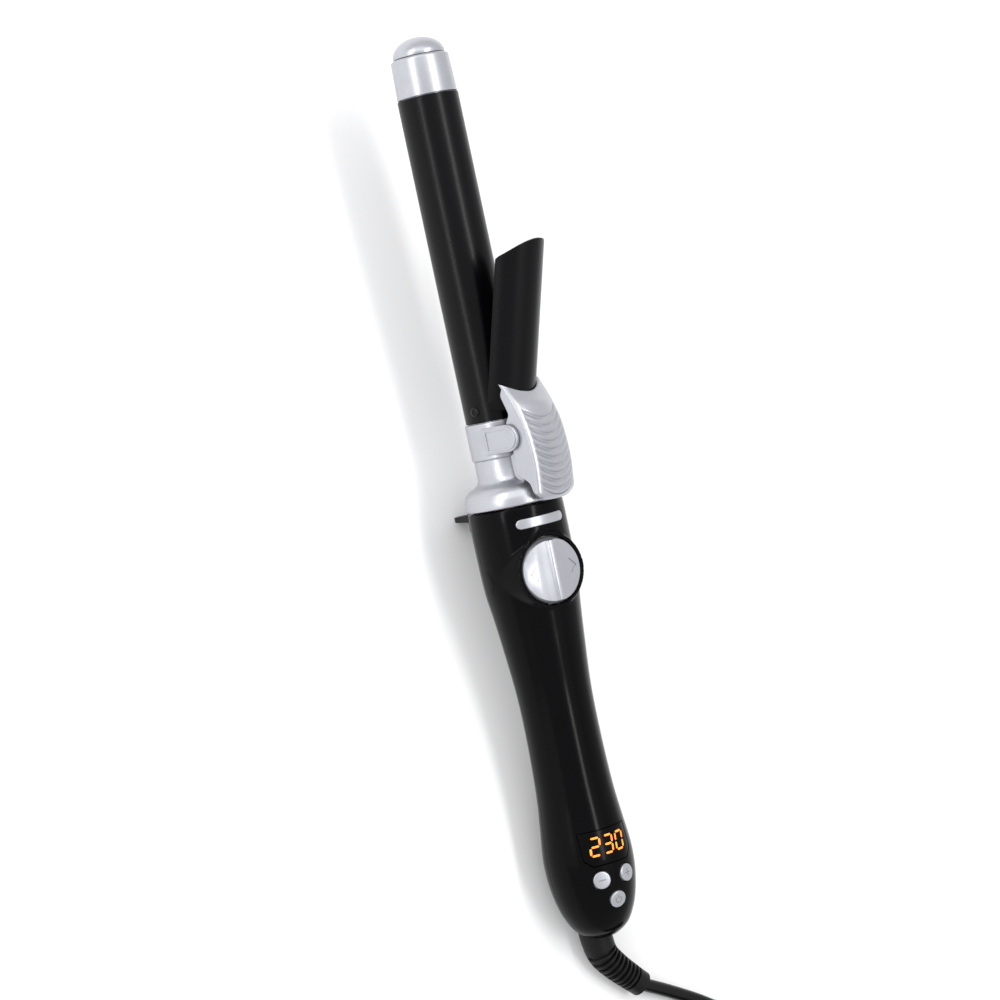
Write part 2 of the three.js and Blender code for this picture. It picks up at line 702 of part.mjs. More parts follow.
function clipSpring() {
  const coilRadius = 2.9;
  const wire = 0.45;
  const turns = 5;
  const pitch = 1.8;
  const points = [[PIVOT_X - 8.4, -6.4, PIVOT_Z + 1.6]];
  for (let step = 0; step <= turns * 8; step++) {
    const angle = Math.PI / 2 + (step * Math.PI) / 4;
    const y = (step / 8 - turns / 2) * pitch;
    const x = PIVOT_X + coilRadius * Math.cos(angle);
    points.push([x, y, PIVOT_Z + coilRadius * Math.sin(angle)]);
  }
  points.push([PIVOT_X + 6.2, 4.8, PIVOT_Z + coilRadius + 0.4]);
  return bar(points, wire, 48, 3);
}

add("barrel", "clip_spring", clipSpring(), steel);

// ---- Barrel and heater ----
const screwHoles = rod([SCREW_X, -14, 0], [SCREW_X, 14, 0], 1.3);
const barrelTube = tube(BARREL_START, BARREL_END, BARREL_RADIUS, BARREL_BORE, 40);
add("barrel", "barrel_tube", barrelTube.subtract(screwHoles), satinBlack);
for (const [name, side] of [["left", 1], ["right", -1]]) {
  const head = rod([SCREW_X, side * 12.8, 0], [SCREW_X, side * 13.35, 0], 2, 16, 1.6);
  const thread = rod([SCREW_X, side * 9, 0], [SCREW_X, side * 13, 0], 1);
  add("barrel", `barrel_screw_${name}`, head.add(thread), steel);
}

const tipCollar = turnedRing([
  [158, 9],
  [158, SPIGOT_RADIUS],
  [168.4, SPIGOT_RADIUS],
  [168.4, 12.3],
  [183.4, 11.9],
  [184.5, 11.2],
  [184.5, 9],
], 40);
add("barrel", "tip_collar", tipCollar, silver);
const domeArc = [0, 18, 36, 54, 72].map((angle) => [
  184.8 + (TIP_END - 184.8) * Math.sin(degrees(angle)),
  10.9 * Math.cos(degrees(angle)),
]);
add(
  "barrel",
  "tip_dome",
  turned([[176, 0], [176, 8.7], [184.8, 8.7], ...domeArc, [TIP_END, 0]], 40),
  silver,
);

function heaterClamp() {
  const half = (radius, low) => {
    const reach = Math.acos(low / radius);
    const outline = new THREE.Shape();
    outline.absarc(0, 0, radius, Math.PI / 2 - reach, Math.PI / 2 + reach, false);
    return outline;
  };
  const outer = pushedX(half(10.9, 1.9), 60, 150, 14);
  return outer.subtract(pushedX(half(9.5, 3.3), 59, 151, 14));
}

add("barrel", "heater_clamp_upper", heaterClamp(), aluminium);
add("barrel", "heater_clamp_lower", heaterClamp().mirror([0, 0, 1]), aluminium);
add("barrel", "ptc_heater", block([64, -6, -1.55], [146, 6, 1.55]), ceramic);
add("barrel", "temperature_sensor", rod([100, 0, 4.9], [108, 0, 4.9], 1.2), ceramic);
add("barrel", "heater_insulator", tube(50, 57, 10.9, 3.5), ceramic);

// ---- Clip, drawn closed about its hinge pin: u runs to the tip, w away from the barrel ----
const LEVER_EDGE = new THREE.SplineCurve(
  [
    [20.5, -5],
    [13.5, 1.8],
    [5.9, 7.4],
    [-1.7, 11.1],
    [-8.8, 13.7],
    [-15.7, 15.3],
    [-20.6, 16.2],
    [-23.1, 15.6],
  ].map((p) => new THREE.Vector2(...p)),
);

function leverFace() {
  const along = 16;
  const across = 8;
  const geometry = new THREE.BoxGeometry(1, 2, 1, along, across, 1);
  const place = geometry.getAttribute("position");
  for (let index = 0; index < place.count; index++) {
    const edge = LEVER_EDGE.getPoint(0.5 - place.getX(index));
    const side = place.getY(index);
    const narrow = THREE.MathUtils.smoothstep(-edge.x, 19, 23.1);
    const y = side * (LEVER_HALF_WIDTH - 2.1 * narrow ** 2);
    const crown = 2.3 + 3.3 * THREE.MathUtils.smoothstep(edge.x, 6, 20.5);
    const outer = edge.y + crown * (1 - side ** 2);
    const plateTop = Math.sqrt(Math.max(0, (PLATE_OUTER + GAP) ** 2 - y ** 2)) - PIVOT_Z;
    const inner = Math.max(outer - LEVER_WALL, Math.min(plateTop, outer - 0.5));
    place.setXYZ(index, edge.x, y, place.getZ(index) > 0 ? outer : inner);
  }
  const face = solidFrom(geometry);
  return face.volume() < 0 ? solidFrom(geometry.scale(1, -1, 1)) : face;
}

function leverSkirt() {
  const outline = shapeOf([
    [20.4, -5.1],
    [15.9, -5.9],
    [9.2, -1],
    [5.1, -2.2],
    [-5.7, 2.5],
    [-14.3, 5.1],
    [-16.5, 11.4],
    [-20.4, 13.8],
    [-20.6, 15.9],
    [-15.7, 15],
    [-8.8, 13.4],
    [-1.7, 10.8],
    [5.9, 7.1],
    [13.5, 1.5],
  ]);
  const skirt = pushedY(outline, LEVER_HALF_WIDTH - 1.8, LEVER_HALF_WIDTH - 0.05);
  return skirt.add(rod([0, 9.9, 0], [0, LEVER_HALF_WIDTH - 0.05, 0], 4.4, 20));
}

function clipLever() {
  const plateRoot = rod([PLATE_START - 0.4, 0, -PIVOT_Z], [26, 0, -PIVOT_Z], PLATE_OUTER + GAP, 40);
  const pinBore = rod([0, -14, 0], [0, 14, 0], 1.8);
  const rivetBore = rod([14, 0, -3], [14, 0, 1.6], 1.5);
  const skirt = leverSkirt();
  return leverFace()
    .add(skirt)
    .add(mirrored(skirt))
    .subtract(plateRoot)
    .subtract(pinBore)
    .subtract(rivetBore);
}

function clipPlate() {
  const shape = new THREE.Shape();
  const [low, high] = [90 - PLATE_HALF_ANGLE, 90 + PLATE_HALF_ANGLE].map(degrees);
  shape.absarc(0, 0, PLATE_OUTER, low, high, false);
  shape.absarc(0, 0, PLATE_INNER, high, low, true);
  const channel = pushedX(shape, PLATE_START, PLATE_END, 14).translate([0, 0, -PIVOT_Z]);
  const tongue = new THREE.Shape();
  const reach = 9;
  tongue.moveTo(0, -15);
  tongue.lineTo(PLATE_END - reach, -15);
  tongue.absellipse(PLATE_END - reach, 0, reach, 15, -Math.PI / 2, Math.PI / 2, false);
  tongue.lineTo(0, 15);
  const rivetBore = rod([14, 0, -3], [14, 0, 1], 1.5);
  return channel.intersect(pushedZ(tongue, -20, 10, 10)).subtract(rivetBore);
}

add("clip", "clip_lever", clipLever(), silver);
add("clip", "clip_plate", clipPlate(), satinBlack);
add("clip", "clip_rivet", rod([14, 0, -1.15], [14, 0, 1.2], 1.2), steel);

// ---- Cord, swivel and plug, on the table ----
const swivelPlace = new THREE.Matrix4()
  .makeTranslation(0, 0, -floorZ)
  .multiply(tilt);

function strainRelief() {
  const route = BOOT_ROUTE.map((p) => new THREE.Vector3(...p));
  const path = new THREE.CatmullRomCurve3(route);
  const steps = 14;
  const geometry = new THREE.ExtrudeGeometry(circleShape(1), {
    steps,
    extrudePath: path,
    bevelEnabled: false,
    curveSegments: 10,
  });
  const place = geometry.getAttribute("position");
  const length = path.getLength();
  const spine = path.getSpacedPoints(steps);
  for (let index = 0; index < place.count; index++) {
    const point = new THREE.Vector3().fromBufferAttribute(place, index);
    const distances = spine.map((centre) => centre.distanceTo(point));
    const nearest = distances.indexOf(Math.min(...distances));
    const taper = THREE.MathUtils.clamp(((nearest / steps) * length - 12) / (length - 12), 0, 1);
    const radius = 6.9 - 1.5 * taper;
    point.sub(spine[nearest]).multiplyScalar(radius).add(spine[nearest]);
    place.setXYZ(index, point.x, point.y, point.z);
  }
  const neck = rod([-158, 0, SWIVEL_Z], [-170, 0, SWIVEL_Z], 4.2, 20)
    .add(rod([-158, 0, SWIVEL_Z], [-160, 0, SWIVEL_Z], 5.6, 20));
  return solidFrom(geometry).add(neck.transform(swivelPlace.elements));
}

add("cord", "strain_relief", strainRelief(), rubberBlack);
add("cord", "cord_lead", bar(LEAD_ROUTE, CORD_RADIUS, 14, 5), glossBlack);
add("cord", "cord_tail", bar(TAIL_ROUTE, CORD_RADIUS, 16, 5), glossBlack);
const coilRing = turnedRing([
  [0.05, COIL_INNER],
  [0.05, COIL_OUTER],
  [COIL_HEIGHT, COIL_OUTER],
  [COIL_HEIGHT, COIL_INNER],
], 40);
add("cord", "cord_coil", coilRing.rotate([0, -90, 0]).translate([...COIL_CENTRE, 0]), glossBlack);

function plugBody() {
  const half = 17.6;
  const outline = new THREE.Shape();
  outline.moveTo(10, -6);
  outline.lineTo(22, -half + 4);
  outline.lineTo(45, -half);
  outline.lineTo(45, half);
  outline.lineTo(22, half - 4);
  outline.lineTo(10, 6);
  const side = new THREE.Shape();
  side.moveTo(8, -5);
  side.lineTo(20, -6.85);
  side.lineTo(46, -6.85);
  side.lineTo(46, 6.85);
  side.lineTo(20, 6.85);
  side.lineTo(8, 5);
  const body = pushedZ(outline, -8, 8).intersect(pushedY(side, -20, 20));
  const boot = rod([0, 0, 0], [11, 0, 0], 3.8, 16, 5.2);
  let plug = body.add(boot);
  for (const y of [-9.3, 9.3]) plug = plug.subtract(rod([42, y, 0], [46, y, 0], 2.3));
  return plug.rotate([0, 0, 90]).translate(PLUG_PLACE);
}

add("cord", "plug_body", plugBody(), satinBlack);
for (const [name, y] of [["left", 9.3], ["right", -9.3]]) {
  const pin = rod([42.4, y, 0], [64, y, 0], 2).rotate([0, 0, 90]).translate(PLUG_PLACE);
  add("cord", `plug_pin_${name}`, pin, brass);
}

// ---- Assembly ----
const { iron, barrel, clip, cord } = groups;
clip.position.set(PIVOT_X, 0, PIVOT_Z);
clip.rotation.y = degrees(-CLIP_OPEN);
barrel.rotation.x = degrees(BARREL_TURN);
barrel.add(clip);
iron.add(barrel);
iron.rotation.y = degrees(-REST_TILT);
iron.position.z = -floorZ;

const curler = new THREE.Group();
curler.name = "automatic_hair_curler";
curler.add(iron, cord);
iron.updateMatrixWorld(true);
const box = new THREE.Box3().setFromObject(iron, true);
const centre = box.getCenter(new THREE.Vector3());
iron.position.x -= centre.x;
iron.position.y -= centre.y;
cord.position.set(-centre.x, -centre.y, 0);

export default curler;
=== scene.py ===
"""The looks of the automatic hair curler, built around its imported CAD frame.

Shapes are drawn in millimetres in the iron's own frame (+X to the barrel's tip, x = 0 at the gap between
the turning collar and the handle, +Z the handle's front) and then laid in the row's frame, in metres.
"""

import json
import math

import bmesh
import bpy
import numpy as np
from mathutils import Matrix, Vector


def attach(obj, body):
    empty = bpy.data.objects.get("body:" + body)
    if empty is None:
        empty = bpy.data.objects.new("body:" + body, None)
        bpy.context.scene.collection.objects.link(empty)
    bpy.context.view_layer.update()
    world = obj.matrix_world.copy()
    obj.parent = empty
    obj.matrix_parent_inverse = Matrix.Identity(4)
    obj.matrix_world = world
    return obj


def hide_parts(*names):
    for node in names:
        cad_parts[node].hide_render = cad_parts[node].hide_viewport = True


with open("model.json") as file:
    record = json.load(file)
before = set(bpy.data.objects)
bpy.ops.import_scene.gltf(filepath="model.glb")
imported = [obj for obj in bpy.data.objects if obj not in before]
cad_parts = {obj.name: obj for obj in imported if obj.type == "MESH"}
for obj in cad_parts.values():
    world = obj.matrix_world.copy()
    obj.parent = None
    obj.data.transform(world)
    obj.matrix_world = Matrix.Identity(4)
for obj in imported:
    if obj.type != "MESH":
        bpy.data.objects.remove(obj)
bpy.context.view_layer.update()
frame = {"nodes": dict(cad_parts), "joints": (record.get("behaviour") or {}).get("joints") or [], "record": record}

MM = 0.001
GAP = 0.3

# ---- Frames, from the record's joints ----
joints = {joint["name"]: joint for joint in frame["joints"]}


def placed(origin, x_axis, z_axis):
    """The matrix from millimetres in a piece's own frame to metres in the row's frame."""
    x_axis, z_axis = Vector(x_axis).normalized(), Vector(z_axis).normalized()
    y_axis = z_axis.cross(x_axis).normalized()
    z_axis = x_axis.cross(y_axis)
    turn = Matrix((x_axis, y_axis, z_axis)).transposed().to_4x4()
    return Matrix.Translation(Vector(origin)) @ turn @ Matrix.Scale(MM, 4)


AXIS = Vector(joints["barrel_spin"]["axis"]).normalized()
AXIS_ORIGIN = Vector(joints["barrel_spin"]["pos_m"])
FRONT = AXIS.cross(Vector((0, 1, 0))).normalized()
IRON = placed(AXIS_ORIGIN, AXIS, FRONT)
HINGE = Vector(joints["clip_hinge"]["pos_m"])
HINGE_AXIS = Vector(joints["clip_hinge"]["axis"]).normalized()
CLIP_SIDE = HINGE_AXIS.cross(AXIS).normalized()
if (HINGE - AXIS_ORIGIN).dot(CLIP_SIDE) < 0:
    CLIP_SIDE.negate()
BARREL = placed(AXIS_ORIGIN, AXIS, CLIP_SIDE)
CLIP_OPEN = -math.radians(joints["clip_hinge"]["range_deg"][0])
_opened = Matrix.Rotation(CLIP_OPEN, 3, HINGE_AXIS)
CLIP = placed(HINGE, _opened @ AXIS, _opened @ CLIP_SIDE)
CORD = Matrix.Translation((AXIS_ORIGIN.x, AXIS_ORIGIN.y, 0)) @ Matrix.Scale(MM, 4)

# ---- Camera and light ----
VIEW_DISTANCE = 1.1
VIEW_ELEVATION = math.radians(60)
AXIS_LEAN = 12.06  # degrees to the left of upright, in the picture
PICTURE_WIDTH = 0.4058  # metres across at the iron's axis
SENSOR = 36
LOOK_AT = (3.2, -5.4)  # along the axis and to its right in the picture, millimetres


def make_camera():
    view = Vector((-0.0255, math.cos(VIEW_ELEVATION), math.sin(VIEW_ELEVATION))).normalized()
    along = (AXIS - view * AXIS.dot(view)).normalized()
    across = along.cross(view).normalized()
    lean = math.radians(AXIS_LEAN)
    up = along * math.cos(lean) + across * math.sin(lean)
    right = up.cross(view).normalized()
    target = AXIS_ORIGIN + along * LOOK_AT[0] * MM + across * LOOK_AT[1] * MM
    data = bpy.data.cameras.new("camera")
    data.sensor_width = SENSOR
    data.lens = SENSOR * VIEW_DISTANCE / PICTURE_WIDTH
    camera = bpy.data.objects.new("camera", data)
    turn = Matrix((right, up, view)).transposed().to_4x4()
    camera.matrix_world = Matrix.Translation(target + view * VIEW_DISTANCE) @ turn
    bpy.context.scene.collection.objects.link(camera)
    bpy.context.scene.camera = camera
    return view, up, right, target


VIEW, UP, RIGHT, TARGET = make_camera()


def make_panel(name, direction, distance, size, power, color=(1, 1, 1)):
    """A soft box that faces the iron from a direction given as right, up and towards the camera."""
    data = bpy.data.lights.new(name, "AREA")
    data.shape = "RECTANGLE"
    data.size, data.size_y = size
    data.energy = power
    data.color = color
    light = bpy.data.objects.new(name, data)
    away = (RIGHT * direction[0] + UP * direction[1] + VIEW * direction[2]).normalized()
    side = UP.cross(away).normalized()
    turn = Matrix((side, away.cross(side), away)).transposed().to_4x4()
    light.matrix_world = Matrix.Translation(TARGET + away * distance) @ turn
    bpy.context.scene.collection.objects.link(light)
    return light


def make_studio():
    world = bpy.data.worlds.new("studio")
    bpy.context.scene.world = world
    world.use_nodes = True
    background = world.node_tree.nodes["Background"]
    background.inputs["Color"].default_value = (0.98, 0.985, 1, 1)
    background.inputs["Strength"].default_value = 0.86
    make_panel("left_box", (-0.8, 0.1, 0.9), 1.3, (0.8, 1.6), 2)
    make_panel("right_box", (0.85, 0.0, 0.8), 1.3, (0.8, 1.6), 1.2)
    make_panel("top_box", (0.0, 0.7, 1.0), 1.6, (1.8, 1.2), 6)
    # Two narrow strips give the barrel its pair of soft streaks.
    make_panel("left_strip", (-0.55, 0.25, 0.83), 1.3, (0.14, 1.3), 4.5)
    make_panel("right_strip", (0.62, 0.25, 0.72), 1.3, (0.14, 1.3), 7)
    bpy.context.scene.view_settings.view_transform = "Standard"


make_studio()


# ---- Shape helpers ----
def new_object(name, vertices, faces):
    mesh = bpy.data.meshes.new(name)
    mesh.from_pydata([tuple(map(float, v)) for v in vertices], [], faces)
    mesh.update()
    piece = bpy.data.objects.new(name, mesh)
    bpy.context.scene.collection.objects.link(piece)
    return piece


def tidy_mesh(piece):
    """Merges doubled points and turns every face out."""
    work = bmesh.new()
    work.from_mesh(piece.data)
    bmesh.ops.remove_doubles(work, verts=work.verts, dist=1e-4)
    bmesh.ops.dissolve_degenerate(work, edges=work.edges, dist=1e-5)
    bmesh.ops.recalc_face_normals(work, faces=work.faces)
    work.to_mesh(piece.data)
    work.free()
    return piece


def loft(name, rings, closed=False):
    """A skin over rings of points, capped at both ends, or joined end to start."""
    count, sides = len(rings), len(rings[0])
    vertices = [p for ring in rings for p in ring]
    faces = []
    for i in range(count if closed else count - 1):
        for j in range(sides):
            a, b = i * sides, (i + 1) % count * sides
            faces.append((a + j, a + (j + 1) % sides, b + (j + 1) % sides, b + j))
    if not closed:
        faces.append(tuple(range(sides))[::-1])
        faces.append(tuple(range((count - 1) * sides, count * sides)))
    return tidy_mesh(new_object(name, vertices, faces))


def circle(x, radius, sides):
    turns = np.arange(sides) * 2 * math.pi / sides
    return [(x, radius * math.cos(t), radius * math.sin(t)) for t in turns]


def turned(name, profile, sides=96):
    """Turned about X from [x, radius] points. A profile that ends off the axis closes on itself."""
    closed = min(profile[0][1], profile[-1][1]) > 1e-6
    rings = [circle(x, max(radius, 1e-5), sides) for x, radius in profile]
    return loft(name, rings, closed)


def arc(centre_x, centre_r, radius, start, end, steps=8):
    """Points of an arc in the (x, radius) plane, angles in degrees."""
    angles = [math.radians(start + (end - start) * i / steps) for i in range(steps + 1)]
    return [(centre_x + radius * math.cos(a), centre_r + radius * math.sin(a)) for a in angles]


def smooth_line(points, steps):
    """A uniform Catmull-Rom curve through the points, steps samples to a stretch."""
    points = [np.array(p, float) for p in points]
    padded = [points[0], *points, points[-1]]
    line = []
    for i in range(len(points) - 1):
        p0, p1, p2, p3 = padded[i : i + 4]
        for step in range(steps):
            t = step / steps
            line.append(
                0.5
                * (
                    2 * p1
                    + (p2 - p0) * t
                    + (2 * p0 - 5 * p1 + 4 * p2 - p3) * t**2
                    + (3 * p1 - p0 - 3 * p2 + p3) * t**3
                )
            )
    return [*line, points[-1]]


def rod(name, start, end, radius, sides=48, end_radius=None):
    start, end = Vector(start), Vector(end)
    along = (end - start).normalized()
    side = along.orthogonal().normalized()
    other = along.cross(side)
    rings = []
    for centre, r in ((start, radius), (end, radius if end_radius is None else end_radius)):
        angles = [2 * math.pi * i / sides for i in range(sides)]
        rings.append([centre + side * r * math.cos(a) + other * r * math.sin(a) for a in angles])
    return loft(name, rings)


def pushed(name, outline, low, high, axis="z"):
    """An outline pushed along an axis. It is in (x, y) for z, (y, z) for x and (x, z) for y."""
    order = {
        "z": lambda a, b, c: (a, b, c),
        "x": lambda a, b, c: (c, a, b),
        "y": lambda a, b, c: (a, c, b),
    }[axis]
    return loft(name, [[order(a, b, c) for a, b in outline] for c in (low, high)])


def block(name, low, high):
    (x0, y0, z0), (x1, y1, z1) = low, high
    return pushed(name, [(x0, y0), (x1, y0), (x1, y1), (x0, y1)], z0, z1)


def baked(piece):
    """The piece with its modifiers applied."""
    graph = bpy.context.evaluated_depsgraph_get()
    mesh = bpy.data.meshes.new_from_object(piece.evaluated_get(graph))
    old = piece.data
    piece.modifiers.clear()
    piece.data = mesh
    bpy.data.meshes.remove(old)
    return piece


def combine(piece, operation, others):
    for other in others:
        change = piece.modifiers.new(operation, "BOOLEAN")
        change.operation = operation
        change.solver = "EXACT"
        change.object = other
        baked(piece)
        mesh = other.data
        bpy.data.objects.remove(other)
        bpy.data.meshes.remove(mesh)
    return piece


def cut(piece, *others):
    return combine(piece, "DIFFERENCE", others)


def joined(piece, *others):
    return combine(piece, "UNION", others)


def kept(piece, *others):
    return combine(piece, "INTERSECT", others)


def softened(piece, width, segments=2, angle=30):
    """Rounds the piece's sharp edges."""
    bevel = piece.modifiers.new("round", "BEVEL")
    bevel.width = width
    bevel.segments = segments
    bevel.limit_method = "ANGLE"
    bevel.angle_limit = math.radians(angle)
    bevel.harden_normals = False
    return baked(piece)


def set_out(piece, matrix, body, material, replaces=(), sharp=35):
    """Lays the piece in the row's frame, shades it, and ties it to its CAD body."""
    piece.data.transform(matrix)
    if matrix.determinant() < 0:
        piece.data.flip_normals()
    piece.data.polygons.foreach_set("use_smooth", [True] * len(piece.data.polygons))
    piece.data.set_sharp_from_angle(angle=math.radians(sharp))
    piece.data.materials.clear()
    piece.data.materials.append(material)
    piece.data.update()
    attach(piece, body)
    if replaces:
        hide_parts(*([replaces] if isinstance(replaces, str) else replaces))
    return piece


# ---- Materials ----
def make_finish(name, color, roughness, metallic=0.0, specular=0.5, **look):
    """A surface whose colour and gloss drift softly, over a fine grain that roughens it."""
    tone = look.get("tone", 0.08)
    material = bpy.data.materials.new(name)
    material.use_nodes = True
    nodes, links = material.node_tree.nodes, material.node_tree.links
    shader = nodes["Principled BSDF"]
    place = nodes.new("ShaderNodeTexCoord")
    drift = nodes.new("ShaderNodeTexNoise")
    drift.inputs["Scale"].default_value = look.get("drift", 70)
    drift.inputs["Detail"].default_value = 4
    grain = nodes.new("ShaderNodeTexNoise")
    grain.inputs["Scale"].default_value = look.get("grain", 2500)
    grain.inputs["Detail"].default_value = 2
    links.new(place.outputs["Object"], drift.inputs["Vector"])
    links.new(place.outputs["Object"], grain.inputs["Vector"])
    colors = nodes.new("ShaderNodeValToRGB")
    low, high = colors.color_ramp.elements
    low.position, high.position = 0.3, 0.7
    low.color = (*[c * (1 - tone) for c in color], 1)
    high.color = (*[min(1, c * (1 + tone)) for c in color], 1)
    links.new(drift.outputs["Fac"], colors.inputs["Fac"])
    links.new(colors.outputs["Color"], shader.inputs["Base Color"])
    gloss = nodes.new("ShaderNodeMapRange")
    spread = look.get("spread", 0.04)
    gloss.inputs["From Min"].default_value = 0.3
    gloss.inputs["From Max"].default_value = 0.7
    gloss.inputs["To Min"].default_value = max(0.02, roughness - spread)
    gloss.inputs["To Max"].default_value = roughness + spread
    links.new(grain.outputs["Fac"], gloss.inputs["Value"])
    links.new(gloss.outputs["Result"], shader.inputs["Roughness"])
    bump = nodes.new("ShaderNodeBump")
    bump.inputs["Strength"].default_value = look.get("bump", 0.1)
    bump.inputs["Distance"].default_value = look.get("depth", 0.00004)
    links.new(grain.outputs["Fac"], bump.inputs["Height"])
    links.new(bump.outputs["Normal"], shader.inputs["Normal"])
    shader.inputs["Metallic"].default_value = metallic
    shader.inputs["Specular IOR Level"].default_value = specular
    shader.inputs["Coat Weight"].default_value = look.get("coat", 0)
    shader.inputs["Coat Roughness"].default_value = 0.1
    return material


def make_glow(name, color, strength):
    """Lit display segments, their amber varying a little from place to place."""
    material = make_finish(name, color, 0.4, tone=0.2, drift=900)
    nodes, links = material.node_tree.nodes, material.node_tree.links
    shader = nodes["Principled BSDF"]
    ramp = next(node for node in nodes if node.type == "VALTORGB")
    links.new(ramp.outputs["Color"], shader.inputs["Emission Color"])
    shader.inputs["Emission Strength"].default_value = strength
    return material


FINISHES = {
    "gloss_black": make_finish(
        "gloss_black", (0.0012, 0.0012, 0.0016), 0.16, specular=0.08, bump=0.02, spread=0.02
    ),
    "silver_plastic": make_finish(
        "silver_plastic", (0.45, 0.457, 0.49), 0.32, 0.78, tone=0.05, grain=3500, bump=0.25, spread=0.06
    ),
    "barrel_coating": make_finish(
        "barrel_coating", (0.0011, 0.0011, 0.0017), 0.26, 0.0, 0.15, grain=4000, bump=0.3, spread=0.05
    ),
    "black_plastic": make_finish(
        "black_plastic", (0.004, 0.004, 0.0045), 0.42, specular=0.18, grain=1800, bump=0.4
    ),
    "rubber_black": make_finish(
        "rubber_black", (0.003, 0.003, 0.0034), 0.45, specular=0.2, grain=1600, bump=0.3
    ),
    "cord_black": make_finish("cord_black", (0.003, 0.003, 0.0034), 0.3, specular=0.22, grain=900, bump=0.2),
    "smoked_lens": make_finish(
        "smoked_lens", (0.0012, 0.0011, 0.0012), 0.2, specular=0.08, bump=0.01, spread=0.01
    ),
    "display_amber": make_glow("display_amber", (1.0, 0.24, 0.02), 1.25),
    "circuit_board": make_finish("circuit_board", (0.012, 0.1, 0.03), 0.45, tone=0.25, drift=400, grain=1200),
    "white_plastic": make_finish("white_plastic", (0.7, 0.68, 0.62), 0.5, tone=0.04, grain=1500),
    "grey_plastic": make_finish("grey_plastic", (0.09, 0.095, 0.1), 0.5, grain=1500, bump=0.3),
    "steel": make_finish("steel", (0.5, 0.5, 0.51), 0.3, 0.95, tone=0.06, grain=1800, bump=0.15),
    "brass": make_finish("brass", (0.62, 0.42, 0.16), 0.3, 0.95, tone=0.1, grain=1500, bump=0.15),
    "copper": make_finish("copper", (0.6, 0.26, 0.12), 0.28, 0.95, tone=0.12, grain=1500, bump=0.15),
    "heater_aluminium": make_finish("heater_aluminium", (0.6, 0.61, 0.62), 0.4, 0.9, grain=1300, bump=0.3),
    "carbon": make_finish("carbon", (0.02, 0.02, 0.022), 0.7, grain=1500, bump=0.5),
    "ceramic": make_finish("ceramic", (0.75, 0.72, 0.65), 0.6, tone=0.05, grain=1400, bump=0.3),
    "dark_screw": make_finish("dark_screw", (0.012, 0.012, 0.013), 0.3, 0.6, specular=0.3, grain=1500),
    "print_grey": make_finish("print_grey", (0.2, 0.205, 0.215), 0.45, 0.2, tone=0.1),
}

# The pieces inside keep their CAD shape and take their slot's finish.
for part in frame["record"]["subparts"]:
    mesh = frame["nodes"][part["node"]].data
    mesh.materials.clear()
    mesh.materials.append(FINISHES[part["material_slot"]])

# Only the lit digits glow, and the block that carries them is dark.
frame["nodes"]["display_module"].data.materials[0] = FINISHES["smoked_lens"]

# ---- Mains cord: 1.8 m, its end wound into a flat coil behind the handle ----
CORD_LENGTH = 1.8
CORD_RADIUS = 2.8
BOOT_ROUTE = [
    (-166, 0, 10),
    (-174, 0, 9.3),
    (-181.2, 0.1, 8.7),
    (-188, -1.3, 8.1),
    (-194.2, -5.6, 7.6),
    (-199.9, -11, 6.7),
    (-205.2, -16.4, 5.8),
]
LEAD_ROUTE = [
    (-205.6, -17, 5.75),
    (-210.6, -26.3, 4.6),
    (-215.4, -34.6, 3.8),
    (-220.4, -42.7, 3.15),
    (-225.9, -50.5, 2.9),
    (-231.2, -58, 2.9),
    (-236.5, -65.3, 2.9),
]
TAIL_ROUTE = [
    (-298.8, -70.5, 19.4),
    (-306.6, -70.1, 18.8),
    (-314.1, -67.8, 16.9),
    (-320.7, -63.6, 13.7),
    (-326, -57.8, 10.4),
    (-329.4, -51.7, 8.3),
    (-331, -46.2, 7.25),
    (-331.4, -41.2, 6.95),
]
COIL_CENTRE = (-270, -41.6)
COIL_RADIUS = 29.2  # of its middle column
CORD_PITCH = 5.7
LAYER = 5.55
COIL_STEP = 20  # degrees
MOVE = 90  # degrees that a change of column or layer takes
STAGGER = 30  # each change of another kind starts this much sooner than the one beside it
CHANGES = ["in", "in", "up", "out", "out", "up", "in", "in", "up"]  # one for each turn
LEAVING = 55  # degrees that the last straight run takes


def eased(t):
    return 0.5 - 0.5 * math.cos(math.pi * min(max(t, 0), 1))


def coil_points(middle):
    """The cord's turns, clockwise, in three columns and three layers, with its end laid over the top."""
    cx, cy = COIL_CENTRE
    enter = Vector((LEAD_ROUTE[-1][0] - cx, LEAD_ROUTE[-1][1] - cy))
    leave = Vector((TAIL_ROUTE[0][0] - cx, TAIL_ROUTE[0][1] - cy))
    start = math.degrees(math.atan2(enter.y, enter.x))
    total = 360 * len(CHANGES) + start - math.degrees(math.atan2(leave.y, leave.x))
    begins, early = [], 0
    for i, change in enumerate(CHANGES):
        early += STAGGER if i and change != CHANGES[i - 1] else 0
        begins.append(360 * (i + 1) - early)
    points = []
    turn = COIL_STEP
    while turn < total - COIL_STEP / 2:
        radius, layer = middle + CORD_PITCH, 0
        for begin, change in zip(begins, CHANGES):
            share = eased((turn - begin) / MOVE)
            layer += share if change == "up" else 0
            radius += {"in": -1, "up": 0, "out": 1}[change] * share * CORD_PITCH
        radius /= math.cos(math.radians(max(0, turn - total + LEAVING)))
        radius += (enter.length - middle - CORD_PITCH) * (1 - eased(turn / MOVE))
        angle = math.radians(start - turn)
        height = LEAD_ROUTE[-1][2] - 0.05 + layer * LAYER
        points.append((cx + radius * math.cos(angle), cy + radius * math.sin(angle), height))
        turn += COIL_STEP
    return points


def route_length(points):
    line = smooth_line(points, 8)
    return sum(float(np.linalg.norm(b - a)) for a, b in zip(line, line[1:])) * MM


